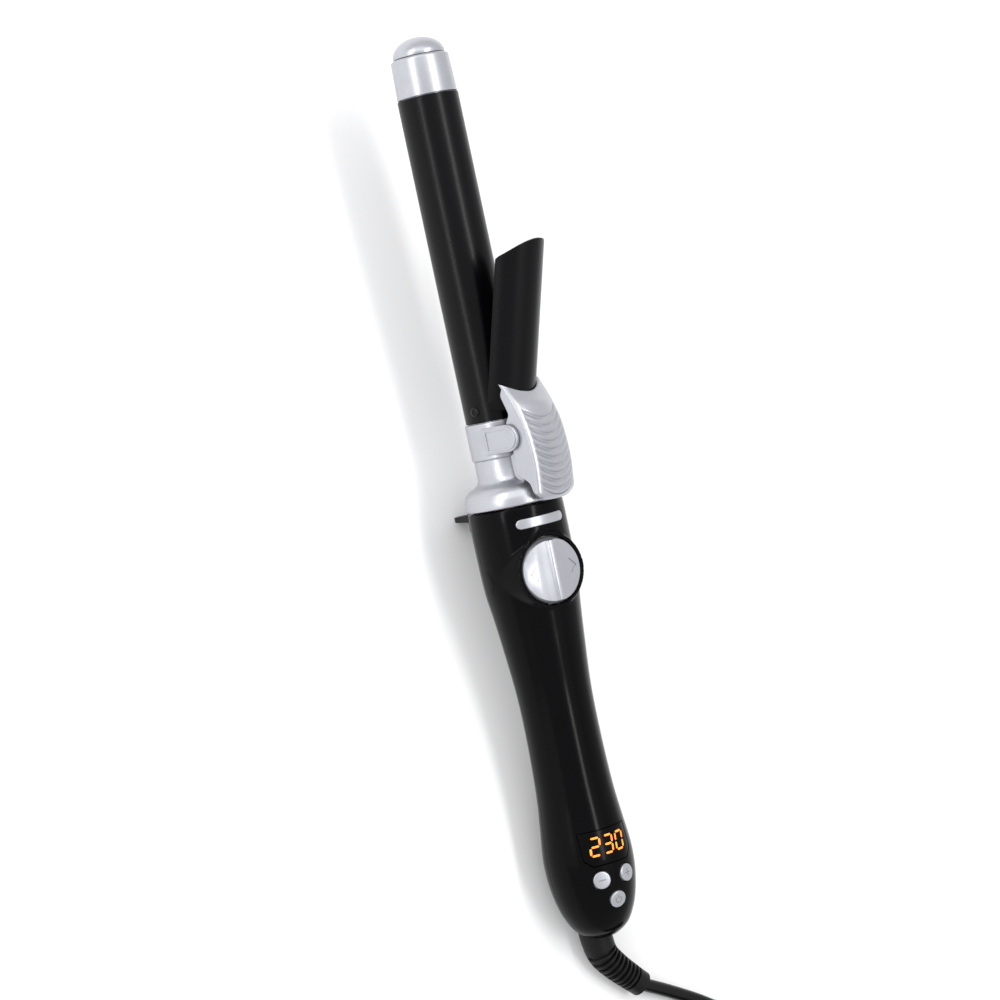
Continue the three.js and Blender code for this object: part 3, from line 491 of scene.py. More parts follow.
def cord_route():
    """The whole route, its coil sized so that the cord is exactly its real length."""
    low, high = COIL_RADIUS - 3, COIL_RADIUS + 3
    for _ in range(20):
        middle = (low + high) / 2
        route = [*LEAD_ROUTE, *coil_points(middle), *TAIL_ROUTE]
        low, high = (middle, high) if route_length(route) < CORD_LENGTH else (low, middle)
    print("coil radius", round(middle, 2))
    return route


def make_cord():
    curve = bpy.data.curves.new("mains_cord", "CURVE")
    curve.dimensions = "3D"
    curve.bevel_depth = CORD_RADIUS * MM
    curve.bevel_resolution = 5
    curve.resolution_u = 6
    curve.use_fill_caps = True
    route = [CORD @ Vector(point) for point in cord_route()]
    spline = curve.splines.new("BEZIER")
    spline.bezier_points.add(len(route) - 1)
    for i, (knot, point) in enumerate(zip(spline.bezier_points, route)):
        before, after = route[max(i - 1, 0)], route[min(i + 1, len(route) - 1)]
        reach = (after - before).normalized()
        knot.co = point
        knot.handle_left = point - reach * (point - before).length / 3
        knot.handle_right = point + reach * (after - point).length / 3
    cord = bpy.data.objects.new("mains_cord", curve)
    bpy.context.scene.collection.objects.link(cord)
    curve.materials.append(FINISHES["cord_black"])
    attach(cord, "cord")
    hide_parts("cord_lead", "cord_coil", "cord_tail")
    return cord


mains_cord = make_cord()

# ---- Handle ----
HANDLE_OUTLINE = [
    (-0.3, 19.5),
    (-7, 19.7),
    (-31, 19.4),
    (-43.7, 18.1),
    (-56.5, 16.9),
    (-77.5, 15.35),
    (-98.2, 15.2),
    (-118.8, 15.9),
    (-131, 17),
    (-143.1, 18.3),
    (-150, 18.45),
    (-156.5, 18),
    (-164.2, 16.6),
    (-170.6, 14.5),
    (-176.4, 11.2),
    (-180, 6.4),
    (-181.1, 2.6),
]
HANDLE_END = -181.2
WALL = 2
INNER_SHARE = 0.986
BEND, BEND_START, BEND_LENGTH = 2, -60, 118
SPLIT_Z = -3.5
ROCKER_X, ROCKER_RADIUS = -27.7, 13.35
RIM_Z, RIM_RADIUS = 17.9, 15.3  # the flat ring round the rocker
SWIVEL_X, SWIVEL_Z, SWIVEL_RECESS = -166, -8.3, 7.5
DISPLAY_X = (-148.5, -134.6)
DISPLAY_HALF_WIDTH = 11
BUTTON_RADIUS = 3.55
SIDE_BUTTON_X, SIDE_BUTTON_TURN = -154.5, 19
POWER_BUTTON_X, POWER_BUTTON_LEAN = -164, 16
SCREW_PLACES = [(-118, 9.3), (-118, -9.3)]
BADGE_X = -7.1
BADGE_HALF_HEIGHT, BADGE_HALF_LENGTH = 1.95, 11

outline_line = np.array(smooth_line(HANDLE_OUTLINE, 10))


def bend_at(x):
    return -BEND * max(0, (BEND_START - x) / BEND_LENGTH) ** 1.5


def radius_at(x):
    return float(np.interp(-x, -outline_line[:, 0], outline_line[:, 1]))


def skin_height(x, y):
    """The height of the handle's front over a point."""
    return bend_at(x) + math.sqrt(max(0, radius_at(x) ** 2 - y * y))


def smooth_max(a, b, width):
    share = min(max(0.5 + (a - b) / (2 * width), 0), 1)
    return b + (a - b) * share + width * share * (1 - share)


def rocker_seat(x, y, z):
    """The front's height near the rocker: a raised ring with a flat rim, cut out of the crown."""
    r = math.hypot(x - ROCKER_X, y)
    if z < 0 or r > RIM_RADIUS + 5.5:
        return z
    dished = RIM_Z + max(0, r - RIM_RADIUS) * 1.1
    lowered = -smooth_max(-z, -dished, 0.25)
    ring = RIM_Z - max(0, r - RIM_RADIUS) * 3.6
    return smooth_max(lowered, ring, 0.35)


def handle_solid(name, inset=0.0, sides=96, steps=8, start=None):
    squeeze = INNER_SHARE if inset else 1
    line = [(p[0] * squeeze, p[1] - inset) for p in smooth_line(HANDLE_OUTLINE, steps)]
    line = [p for p in line if p[1] > 1]
    start = HANDLE_OUTLINE[0][0] if start is None else start
    line = [(start, 0), (start, line[0][1]), *line[1:], (HANDLE_END * squeeze, 0)]
    if not inset:
        line[1:2] = [(start, line[1][1] - 0.35), (start - 0.1, line[1][1] - 0.1), (start - 0.35, line[1][1])]
        fine = [x / 2 for x in range(round(2 * ROCKER_X) - 44, round(2 * ROCKER_X) + 44)]
        coarse = [p for p in line if abs(p[0] - ROCKER_X) > 22]
        line = sorted([*coarse, *[(x, radius_at(x)) for x in fine if x < -1]], key=lambda p: (-p[0], p[1]))
        line = [*line[:1], *sorted(line[1:], key=lambda p: -p[0])]
    solid = turned(name, line, sides)
    for vertex in solid.data.vertices:
        x, y, z = vertex.co
        z += bend_at(x)
        vertex.co.z = z if inset else rocker_seat(x, y, z)
    return solid


def button_place(name):
    if name == "power":
        centre = (POWER_BUTTON_X, 0, skin_height(POWER_BUTTON_X, 0))
        turn = Matrix.Rotation(math.radians(-POWER_BUTTON_LEAN), 4, "Y")
    else:
        angle = math.radians(SIDE_BUTTON_TURN if name == "plus" else -SIDE_BUTTON_TURN)
        radius = radius_at(SIDE_BUTTON_X)
        height = bend_at(SIDE_BUTTON_X) + radius * math.cos(angle)
        centre = (SIDE_BUTTON_X, -radius * math.sin(angle), height)
        turn = Matrix.Rotation(angle, 4, "X")
    return Matrix.Translation(centre) @ turn


STANDING = Matrix.Rotation(math.radians(-90), 4, "Y")  # turns +X up to +Z


def moved(piece, matrix):
    piece.data.transform(matrix)
    return piece


def standing(name, profile, place=None, sides=64):
    """Turned about +Z from [z, radius] points, then put in place."""
    return moved(turned(name, profile, sides), (place or Matrix.Identity(4)) @ STANDING)


def merged(name, *pieces):
    """Pieces that don't touch, as one mesh."""
    work = bmesh.new()
    for piece in pieces:
        work.from_mesh(piece.data)
        bpy.data.objects.remove(piece)
    mesh = bpy.data.meshes.new(name)
    work.to_mesh(mesh)
    work.free()
    result = bpy.data.objects.new(name, mesh)
    bpy.context.scene.collection.objects.link(result)
    return result


def display_outline(margin):
    (x0, x1), half, chamfer = DISPLAY_X, DISPLAY_HALF_WIDTH + margin, 3
    corners = [
        (x0 - margin, -half + chamfer),
        (x0 + chamfer - margin, -half),
        (x1 + margin, -half),
        (x1 + margin, half),
        (x0 + chamfer - margin, half),
        (x0 - margin, half - chamfer),
    ]
    return filled_in(rounded(corners, 0.7), 0.6)


def rounded(corners, radius, steps=4):
    """The outline with its corners rounded."""
    points = []
    for i, corner in enumerate(corners):
        here = Vector(corner)
        before, after = Vector(corners[i - 1]) - here, Vector(corners[(i + 1) % len(corners)]) - here
        reach = min(radius, 0.45 * before.length, 0.45 * after.length)
        start, end = here + before.normalized() * reach, here + after.normalized() * reach
        for step in range(steps + 1):
            t = step / steps
            points.append(tuple(start * (1 - t) ** 2 + here * 2 * t * (1 - t) + end * t * t))
    return points


def filled_in(points, gap):
    """The outline with points added along its long sides."""
    dense = []
    for i, point in enumerate(points):
        here, after = np.array(point), np.array(points[(i + 1) % len(points)])
        count = max(1, round(np.linalg.norm(after - here) / gap))
        dense += [tuple(here + (after - here) * k / count) for k in range(count)]
    return dense


def stadium(half_height, half_length, centre, steps=16):
    turns = [math.pi * i / steps for i in range(steps + 1)]
    reach = half_length - half_height
    end = [(half_height * math.cos(t), reach + half_height * math.sin(t)) for t in turns]
    loop = [*end, *[(-x, -y) for x, y in end]]
    return filled_in([(centre[0] + x, centre[1] + y) for x, y in loop], 0.5)


def pad(name, outline, height, depth, edge):
    """A plate whose top follows a height over (x, y), with a rounded edge all round."""
    count = len(outline)
    points = [Vector(p) for p in outline]
    middle = sum(points, Vector((0, 0))) / count
    area = sum(points[i - 1].x * points[i].y - points[i].x * points[i - 1].y for i in range(count))
    side = 1 if area > 0 else -1
    inward = []
    for i in range(count):
        along = points[(i + 1) % count] - points[i - 1]
        inward.append(Vector((-along.y, along.x)).normalized() * side)
    rings = [[(p.x, p.y, height(p.x, p.y) - depth) for p in points]]
    for angle in (0, 30, 60, 90):
        reach, drop = edge * (1 - math.cos(math.radians(angle))), edge * (1 - math.sin(math.radians(angle)))
        moved_in = [p + n * reach for p, n in zip(points, inward)]
        rings.append([(p.x, p.y, height(p.x, p.y) - drop) for p in moved_in])
    for share in (0.8, 0.6, 0.4, 0.2, 0.02):
        shrunk = [middle + (p + n * edge - middle) * share for p, n in zip(points, inward)]
        rings.append([(p.x, p.y, height(p.x, p.y)) for p in shrunk])
    return loft(name, rings)


def make_handle():
    outer = handle_solid("handle_front", sides=224, steps=6)
    rear = handle_solid("handle_rear", sides=128, steps=6)
    inner = handle_solid("inner", WALL, 64, 4, start=0.7)
    low = block("low", (-200, -40, -60), (20, 40, SPLIT_Z + 0.1))
    high = block("high", (-200, -40, SPLIT_Z - 0.1), (20, 40, 60))
    bore = standing(
        "bore",
        [(8, 0), (8, 13.95), (RIM_Z - 0.35, 13.95), (RIM_Z + 0.1, 14.4), (40, 14.4), (40, 0)],
        Matrix.Translation((ROCKER_X, 0, 0)),
        128,
    )
    well = [(-8, 0), (-8, 3.85), (-0.15, 3.85), (0.6, 4.6), (4, 4.6), (4, 0)]
    holes = [standing("hole", well, button_place(name)) for name in ("minus", "plus", "power")]
    window = pushed("window", display_outline(GAP), 5, 30)
    stem = rod("stem", (SWIVEL_X, 0, SWIVEL_Z), (-200, 0, SWIVEL_Z), SWIVEL_RECESS, 96)
    snug_stem = rod("snug_stem", (SWIVEL_X, 0, SWIVEL_Z), (-200, 0, SWIVEL_Z), SWIVEL_RECESS - 0.3, 96)
    cut(outer, inner, low, merged("cuts", bore, *holes, window), snug_stem)
    seat_outline = stadium(BADGE_HALF_HEIGHT + 0.12, BADGE_HALF_LENGTH + 0.12, (BADGE_X, 0))
    cut(outer, pad("seat", seat_outline, lambda x, y: skin_height(x, y) + 2, 3.4, 0.01))
    slots = [block("slot", (-10, y, -23), (-4, y + 4.2, -16.3)) for y in (-11.2, 7)]
    screws = [rod("screw_hole", (x, y, -20), (x, y, -10.2), 2.4) for x, y in SCREW_PLACES]
    inner_rear = handle_solid("inner", WALL, 64, 4, start=0.7)
    lug = rod("lug", (-7, -6.9, -19), (-7, 6.9, -19), 2.2)
    cut(rear, inner_rear, high)
    joined(rear, lug)
    cut(rear, stem, merged("cuts", *slots, *screws))
    set_out(outer, IRON, "handle", FINISHES["gloss_black"], "handle_front_shell", 32)
    set_out(rear, IRON, "handle", FINISHES["gloss_black"], "handle_rear_shell", 32)


make_handle()


# ---- What shows on the handle's front ----
BUTTON_TOP = 0.65
RIDGE_Z = 22.2
ROCKER_RIM_Z = 18.2


def bar_outline(start, end, width, bevel=0.0):
    """A straight stroke in (x, y), its ends square or pointed."""
    start, end = Vector(start), Vector(end)
    along = (end - start).normalized()
    side = Vector((-along.y, along.x)) * width / 2
    if bevel:
        return [
            tuple(p)
            for p in (
                start,
                start + along * bevel - side,
                end - along * bevel - side,
                end,
                end - along * bevel + side,
                start + along * bevel + side,
            )
        ]
    return [tuple(p) for p in (start - side, end - side, end + side, start + side)]


def make_badge():
    outline = stadium(BADGE_HALF_HEIGHT, BADGE_HALF_LENGTH, (BADGE_X, 0))
    plate = pad("indicator_badge_look", outline, lambda x, y: skin_height(x, y) + 0.12, 1.1, 0.25)
    set_out(plate, IRON, "handle", FINISHES["silver_plastic"], "indicator_badge")


DIGIT_HEIGHT, DIGIT_WIDTH, DIGIT_PITCH = 7.8, 4.6, 5.8
DIGIT_X = -140.8
DIGIT_SLANT = 0.12
STROKE = 0.8
SEGMENTS = {"2": "abged", "3": "abgcd", "0": "abcdef"}


def make_display():
    window = pad("display_window_look", display_outline(0), lambda x, y: skin_height(x, y) - 0.05, 1.5, 0.25)
    set_out(window, IRON, "handle", FINISHES["smoked_lens"], "display_window")
    half_h, half_w, gap = (DIGIT_HEIGHT - STROKE) / 2, (DIGIT_WIDTH - STROKE) / 2, 0.3
    # Ends of the seven segments: across to the right, then up the digit.
    ends = {
        "a": ((-half_w, half_h), (half_w, half_h)),
        "b": ((half_w, half_h), (half_w, 0)),
        "c": ((half_w, 0), (half_w, -half_h)),
        "d": ((-half_w, -half_h), (half_w, -half_h)),
        "e": ((-half_w, 0), (-half_w, -half_h)),
        "f": ((-half_w, half_h), (-half_w, 0)),
        "g": ((-half_w, 0), (half_w, 0)),
    }
    strokes = []
    for place, digit in enumerate("230"):
        offset = (place - 1) * DIGIT_PITCH
        for letter in SEGMENTS[digit]:
            (u0, v0), (u1, v1) = ends[letter]
            points = []
            for u, v in ((u0, v0), (u1, v1)):
                right = offset + u + DIGIT_SLANT * v
                points.append((DIGIT_X + v, -right))
            start, end = Vector(points[0]), Vector(points[1])
            along = (end - start).normalized() * gap
            outline = filled_in(bar_outline(start + along, end - along, STROKE, STROKE / 2), 0.7)
            strokes.append(pad("stroke", outline, lambda x, y: skin_height(x, y) - 0.02, 0.1, 0.02))
    digits = merged("display_digits", *strokes)
    set_out(digits, IRON, "handle", FINISHES["display_amber"])


def make_buttons():
    for name, body in (("minus", "minus_key"), ("plus", "plus_key"), ("power", "power_key")):
        edge = arc(BUTTON_TOP - 0.45, BUTTON_RADIUS - 0.45, 0.45, 90, 0, 6)
        crown = [(BUTTON_TOP + 0.12 * (1 - (r / 3.1) ** 2), r) for r in (3.0, 2.4, 1.6, 0.8, 0)]
        foot = {"power": -4.9}.get(name, -5.6)
        stem = [(foot, 0), (foot, 2.2), (-3.9, 2.2), (-3.9, 4.2), (-3.2, 4.2), (-3.2, BUTTON_RADIUS)]
        cap = standing(f"{name}_button_look", [*stem, *edge, *crown], button_place(name), 64)
        marks = []
        if name == "power":
            turns = [math.radians(35 + 290 * i / 24) for i in range(25)]
            ring = [(1.5 * math.cos(t), 1.5 * math.sin(t)) for t in turns]
            ring += [(1.15 * math.cos(t), 1.15 * math.sin(t)) for t in reversed(turns)]
            marks += [ring, bar_outline((0.5, 0), (1.9, 0), 0.35)]
        else:
            marks.append(bar_outline((0, -1.5), (0, 1.5), 0.4))
            if name == "plus":
                marks[0] = bar_outline((0, -1.5), (0, -0.21), 0.4)
                marks += [bar_outline((0, 0.21), (0, 1.5), 0.4), bar_outline((-1.5, 0), (1.5, 0), 0.4)]
        signs = [pushed("sign", outline, BUTTON_TOP - 0.1, BUTTON_TOP + 0.17) for outline in marks]
        sign = moved(merged(f"{name}_sign", *signs), button_place(name))
        set_out(cap, IRON, body, FINISHES["silver_plastic"], f"{name}_button")
        set_out(sign, IRON, body, FINISHES["print_grey"])


def rocker_height(x, y):
    """The rocker's wings slope from its ridge to its rim."""
    reach = abs(y)
    wing = 20.9 + (ROCKER_RIM_Z - 20.9) * (reach - 1.7) / (ROCKER_RADIUS - 1.7)
    return wing if reach > 1.7 else RIDGE_Z


def make_rocker():
    low = 14.6
    half = [
        (ROCKER_RADIUS + 1, low),
        (ROCKER_RADIUS + 1, rocker_height(0, ROCKER_RADIUS + 1)),
        (6, rocker_height(0, 6)),
        (2.3, 20.9),
        (1.75, 21.1),
        (1.25, 21.9),
        (0.85, 22.15),
        (0.4, RIDGE_Z),
    ]
    outline = [*half, *[(-y, z) for y, z in reversed(half)]]
    wings = pushed("rocker_look", outline, ROCKER_X - 15, ROCKER_X + 15, "x")
    rim = [(low - 1, 0), (low - 1, ROCKER_RADIUS), (17.7, ROCKER_RADIUS), (18.1, 13.25), (18.6, 12.95)]
    disc = standing("disc", [*rim, (23, 11.9), (23, 0)], Matrix.Translation((ROCKER_X, 0, 0)), 160)
    rocker = kept(wings, disc)
    softened(rocker, 0.18, 2, 30)
    pin = rod("pin", (ROCKER_X - 13, 0, 13), (ROCKER_X + 13, 0, 13), 0.9, 24)
    rib = block("rib", (ROCKER_X - 10.4, -2.2, 11.9), (ROCKER_X + 10.4, 2.2, 15))
    joined(rocker, rib)
    joined(rocker, pin)
    # An arrow is engraved in each wing, for the way the barrel turns.
    for side in (1, -1):
        tip, tail, spread, width = side * 11, side * 7.8, 3, 0.85
        cuts = []
        for way in (1, -1):
            stroke = bar_outline((ROCKER_X - way * 0.12, tip), (ROCKER_X + way * spread, tail), width)
            groove = pushed("groove", stroke, -0.4, 2)
            for vertex in groove.data.vertices:
                vertex.co.z += rocker_height(vertex.co.x, vertex.co.y)
            cuts.append(groove)
        cut(rocker, *cuts)
    set_out(rocker, IRON, "rocker", FINISHES["silver_plastic"], "rocker_button", 28)


make_badge()
make_display()
make_buttons()
make_rocker()


# ---- Collar with the clip's ears, barrel and tip, in the barrel's frame ----
PIVOT_X, PIVOT_Z = 27.8, 14.2
RING_END, RING_RADIUS = 35.3, 13.2
BARREL_START, BARREL_END = 35.6, 168.1
BARREL_SCREW_X = 40.3
EAR_RADIUS, EAR_BASE = 5.5, 2.5


def ear_outline(radius, base):
    """A round top about the clip's pivot, with straight sides down to its base."""
    turns = np.linspace(0, math.pi, 33)
    top = [(PIVOT_X + radius * math.cos(t), PIVOT_Z + radius * math.sin(t)) for t in turns]
    return [*top, (PIVOT_X - radius, base), (PIVOT_X + radius, base)]


def make_collar():
    flare = smooth_line([(4.2, 19.95), (6.8, 19), (8.8, 17), (9.9, 14.8), (11, 13.3), (12.8, 12.5)], 6)
    profile = [
        (0.5, 10.8),
        (0.5, 19.2),
        *arc(1.3, 19.2, 0.8, 180, 90, 5),
        *[tuple(p) for p in flare],
        (20.2, 12.5),
        *arc(20.8, 12.95, 0.25, 180, 90, 4),
        (21.2, RING_RADIUS),
        (34.8, RING_RADIUS),
        *arc(34.9, RING_RADIUS - 0.4, 0.4, 90, 0, 4),
        (RING_END, 11),
        (45.8, 11),
        (45.8, 8.5),
        (14.3, 8.5),
        (14.3, 5.3),
        (4, 5.3),
        (4, 10.8),
    ]
    collar = turned("hub_collar_look", profile, 128)
    pocket = block("pocket", (22.9, -9.3, 10.1), (32.7, 9.3, 20))
    cut(collar, pocket)
    saddle = softened(block("saddle", (9, -8, 8), (21.6, 8, 13.95)), 0.9, 3)
    joined(collar, saddle)
    for side in (1, -1):
        ear = pushed("ear", ear_outline(EAR_RADIUS, EAR_BASE), *sorted((side * 12.6, side * 14.3)), "y")
        y0, y1 = sorted((side * 10.5, side * 14.3))
        foot = block("foot", (22.3, y0, EAR_BASE), (33.3, y1, 8.2))
        joined(collar, softened(ear, 0.35, 3))
        joined(collar, softened(foot, 0.5, 3))
        # A raised border runs round the ear's face.
        border = pushed("border", ear_outline(4.7, 3.3), *sorted((side * 14.1, side * 14.75)), "y")
        cut(border, pushed("hole", ear_outline(3.7, 4.3), *sorted((side * 14, side * 15)), "y"))
        joined(collar, softened(border, 0.2, 2))
    set_out(collar, BARREL, "barrel", FINISHES["silver_plastic"], "hub_collar", 30)


def make_barrel():
    tube = turned(
        "barrel_tube_look",
        [
            (BARREL_START, 11.3),
            (BARREL_START, 12.25),
            (BARREL_START + 0.25, 12.5),
            (100, 12.5),
            (BARREL_END - 0.25, 12.5),
            (BARREL_END, 12.25),
            (BARREL_END, 11.3),
        ],
        160,
    )
    set_out(tube, BARREL, "barrel", FINISHES["barrel_coating"], "barrel_tube")
    tip = turned(
        "tip_collar_look",
        [
            (158, 9),
            (158, 11),
            (168.4, 11),
            (168.4, 12.05),
            *arc(168.7, 12.0, 0.3, 180, 90, 4),
            (183.1, 11.9),
            *arc(183.3, 10.95, 0.95, 90, 10, 6),
            (184.5, 10.7),
            (184.5, 9),
        ],
        128,
    )
    set_out(tip, BARREL, "barrel", FINISHES["silver_plastic"], "tip_collar")
    turns = [math.radians(angle) for angle in range(6, 85, 6)]
    dome = [(184.8 + 7.6 * math.sin(t), 10.75 * math.cos(t)) for t in turns]
    plug = [(176, 0), (176, 8.7), (184.75, 8.7), (184.75, 10.5)]
    cap = turned("tip_dome_look", [*plug, *dome, (192.4, 0)], 128)
    set_out(cap, BARREL, "barrel", FINISHES["silver_plastic"], "tip_dome")
    for name, side in (("left", 1), ("right", -1)):
        shank = [(9, 0), (9, 1), (12.45, 1), (12.45, 2)]
        crown = [(12.75, 2), (13.05, 1.8), (13.25, 1.4), (13.35, 0.8), (13.35, 0)]
        head = turned("head", [*shank, *crown], 48)
        cut(
            head,
            block("cross", (12.95, -1.1, -0.2), (14, 1.1, 0.2)),
            block("cross", (12.95, -0.2, -1.1), (14, 0.2, 1.1)),
        )
        turn = Matrix.Translation((BARREL_SCREW_X, 0, 0)) @ Matrix.Rotation(math.radians(90 * side), 4, "Z")
        screw = moved(head, turn)
        screw.name = f"barrel_screw_{name}_look"
        set_out(screw, BARREL, "barrel", FINISHES["dark_screw"], f"barrel_screw_{name}")


# ---- Clip, drawn closed about its hinge: u to the tip, w away from the barrel ----
LEVER_EDGE = [
    (20.5, -5),
    (13.5, 1.8),
    (5.9, 7.4),
    (-1.7, 11.1),
    (-8.8, 13.7),
    (-15.7, 15.3),
    (-20.6, 16.2),
    (-23.1, 15.6),
]
LEVER_HALF_WIDTH, LEVER_WALL = 12.3, 1.8
GROOVE_PITCH, GROOVE_SAG, GROOVE_DEPTH = 3.0, 5.2, 0.95
GROOVE_RANGE = (12, -19)
PLATE_INNER, PLATE_OUTER, PLATE_HALF_ANGLE = 12.9, 13.8, 76
PLATE_START, PLATE_END, TONGUE = 10, 79.2, 14.5


def smoothstep(value, low, high):
    t = min(max((value - low) / (high - low), 0), 1)
    return t * t * (3 - 2 * t)


def groove_at(u, side):
    """How deep the finger grooves are: arcs across the lever that sag towards the handle."""
    along = u + GROOVE_SAG * (1 - side * side) - GROOVE_SAG / 2
    phase = (GROOVE_RANGE[0] - along) / GROOVE_PITCH
    if phase < 0 or phase > (GROOVE_RANGE[0] - GROOVE_RANGE[1]) / GROOVE_PITCH:
        return 0
    wave = 0.5 - 0.5 * math.cos(2 * math.pi * (phase % 1))
    fade = smoothstep(1 - abs(side), 0.13, 0.32)
    return GROOVE_DEPTH * wave**1.5 * fade


def make_lever():
    edge_line = smooth_line(LEVER_EDGE, 30)
    rings = []
    across = [math.sin(math.pi / 2 * i / 32) if abs(i) > 28 else i / 32 for i in range(-32, 33)]
    for u, w in edge_line:
        half = LEVER_HALF_WIDTH - 2.1 * smoothstep(-u, 19, 23.1) ** 2
        crown = 2.3 + 3.3 * smoothstep(u, 6, 20.5)
        top, under = [], []
        for side in across:
            y = side * half
            outer = w + crown * (1 - side * side)
            plate_top = math.sqrt(max(0, (PLATE_OUTER + GAP) ** 2 - y * y)) - PIVOT_Z
            inner = max(outer - LEVER_WALL, min(plate_top, outer - 0.5))
            from_edge = half - abs(y)
            round_off = 0.7 - math.sqrt(max(0, 0.49 - max(0, 0.7 - from_edge) ** 2))
            dished = u - 3 * smoothstep(u, 12, 20.5) * (1 - side * side)
            top.append((dished, y, outer - round_off - groove_at(u, side)))
            under.append((dished, y, inner))
        rings.append([*top, *reversed(under)])
    face = softened(loft("lever", rings), 0.35, 3, 60)
    outline = [
        (20.4, -5.1),
        (15.9, -5.9),
        (9.2, -1),
        (5.1, -2.2),
        (-5.7, 2.5),
        (-14.3, 5.1),
        (-16.5, 11.4),
        (-20.4, 13.8),
        (-20.6, 15.7),
        (-15.7, 14.9),
        (-8.8, 13.3),
        (-1.7, 10.7),
        (5.9, 7),
        (13.5, 1.4),
    ]
    skirts = []
    for side in (1, -1):
        span = sorted((side * (LEVER_HALF_WIDTH - 1.8), side * (LEVER_HALF_WIDTH - 0.05)))
        skirts.append(softened(pushed("skirt", rounded(outline, 1.2), *span, "y"), 0.35, 3))
        hub = rod("hub", (0, side * 9.9, 0), (0, side * (LEVER_HALF_WIDTH - 0.05), 0), 4.4, 64)
        skirts.append(softened(hub, 0.3, 2))
    lever = merged("clip_lever_look", face, *skirts)
    set_out(lever, CLIP, "clip", FINISHES["silver_plastic"], "clip_lever", 40)


def make_plate():
    """The clip's curved tongue."""
    stops = list(np.linspace(PLATE_START, PLATE_END - TONGUE, 14, endpoint=False))
    stops += [PLATE_END - TONGUE * (1 - math.sin(math.radians(a))) for a in range(0, 90, 6)]
    stops.append(PLATE_END - 0.02)
    rings = []
    for u in stops:
        past = max(0, u - (PLATE_END - TONGUE)) / TONGUE
        reach = 15 * math.sqrt(max(0, 1 - past * past))
        half = min(math.radians(PLATE_HALF_ANGLE), math.asin(min(1, reach / PLATE_OUTER)))
        turns = [math.pi / 2 + half * (i / 24) for i in range(-24, 25)]
        outer = [(u, PLATE_OUTER * math.cos(t), PLATE_OUTER * math.sin(t) - PIVOT_Z) for t in turns]
        inner = [(u, PLATE_INNER * math.cos(t), PLATE_INNER * math.sin(t) - PIVOT_Z) for t in reversed(turns)]
        rings.append([*outer, *inner])
    plate = softened(loft("clip_plate_look", rings), 0.25, 2, 50)
    set_out(plate, CLIP, "clip", FINISHES["barrel_coating"], "clip_plate")


# ---- Stand ----
STAND_HALF_WIDTH, STAND_CORNER = 11.8, 5
STAND_X = -2.4
STAND_PIN_X, STAND_PIN_Z = -7, -19


def make_stand():
    slope = math.asin(AXIS.z)
    low = -(AXIS_ORIGIN.z / MM) / math.cos(slope) - math.tan(slope) * STAND_X + 0.06
    corners = [
        (STAND_HALF_WIDTH - STAND_CORNER * (1 - math.cos(t)), low + STAND_CORNER * (1 - math.sin(t)))
        for t in np.linspace(0, math.pi / 2, 13)
    ]
    half = [(STAND_HALF_WIDTH, -15.5), *corners]
    outline = [*half, *[(-y, z) for y, z in reversed(half)]]
    plate = pushed("stand_foot_look", filled_in(outline, 0.8), -3.9, -0.9, "x")
    cut(plate, rod("clear", (-12, 0, 0), (4, 0, 0), 20.2, 128))
    for vertex in plate.data.vertices:
        depth = min(max((-20 - vertex.co.z) / 14, 0), 1)
        vertex.co.x = STAND_X + (vertex.co.x - STAND_X) * (1 - 0.33 * depth)
        vertex.co.z = max(vertex.co.z, low - (vertex.co.x - STAND_X) * math.tan(slope))
    softened(plate, 0.3, 2, 40)
    arms = []
    for side in (-1, 1):
        y0, y1 = sorted((side * 7.3, side * 10.9))
        arms.append(softened(block("arm", (STAND_PIN_X, y0, -21.2), (STAND_X, y1, -19.2)), 0.2, 2))
        sleeve = rod("sleeve", (STAND_PIN_X, y0, STAND_PIN_Z), (STAND_PIN_X, y1, STAND_PIN_Z), 2.2, 48)
        bore = rod("bore", (STAND_PIN_X, -12, STAND_PIN_Z), (STAND_PIN_X, 12, STAND_PIN_Z), 1.3, 32)
        cut(sleeve, bore)
        arms.append(sleeve)
    stand = merged("stand_foot_look", plate, *arms)
    set_out(stand, IRON, "stand", FINISHES["black_plastic"], "stand_foot")


# ---- Spring, strain relief and plug ----
RIB_PITCH, RIB_START, RIB_END = 2.4, 19.6, 40
PLUG_PLACE = (-331.4, -40.6, 6.95)
PLUG_SECTIONS = [  # distance from its back, half width, half height
    (8.6, 5, 4.9),
    (9.4, 5.8, 5.3),
    (13, 8, 5.9),
    (17.5, 11, 6.5),
    (22, 13.6, 6.8),
    (30, 15, 6.85),
    (38, 16.4, 6.85),
    (43.6, 17.35, 6.85),
    (44.5, 17.1, 6.6),
    (45, 16.3, 5.9),
]


def swept(name, points, radius_of, sides=48):
    """A round section carried along a line, its radius given by the distance run and the angle."""
    rings, run = [], 0
    up = Vector((0, 0, 1))
    for i, point in enumerate(points):
        here = Vector(point)
        if i:
            run += (here - Vector(points[i - 1])).length
        along = (Vector(points[min(i + 1, len(points) - 1)]) - Vector(points[max(i - 1, 0)])).normalized()
        side = up.cross(along).normalized()
        up = along.cross(side)
        ring = []
        for j in range(sides):
            angle = 2 * math.pi * j / sides
            radius = radius_of(run, angle)
            ring.append(here + side * radius * math.cos(angle) + up * radius * math.sin(angle))
        rings.append(ring)
    return loft(name, rings)


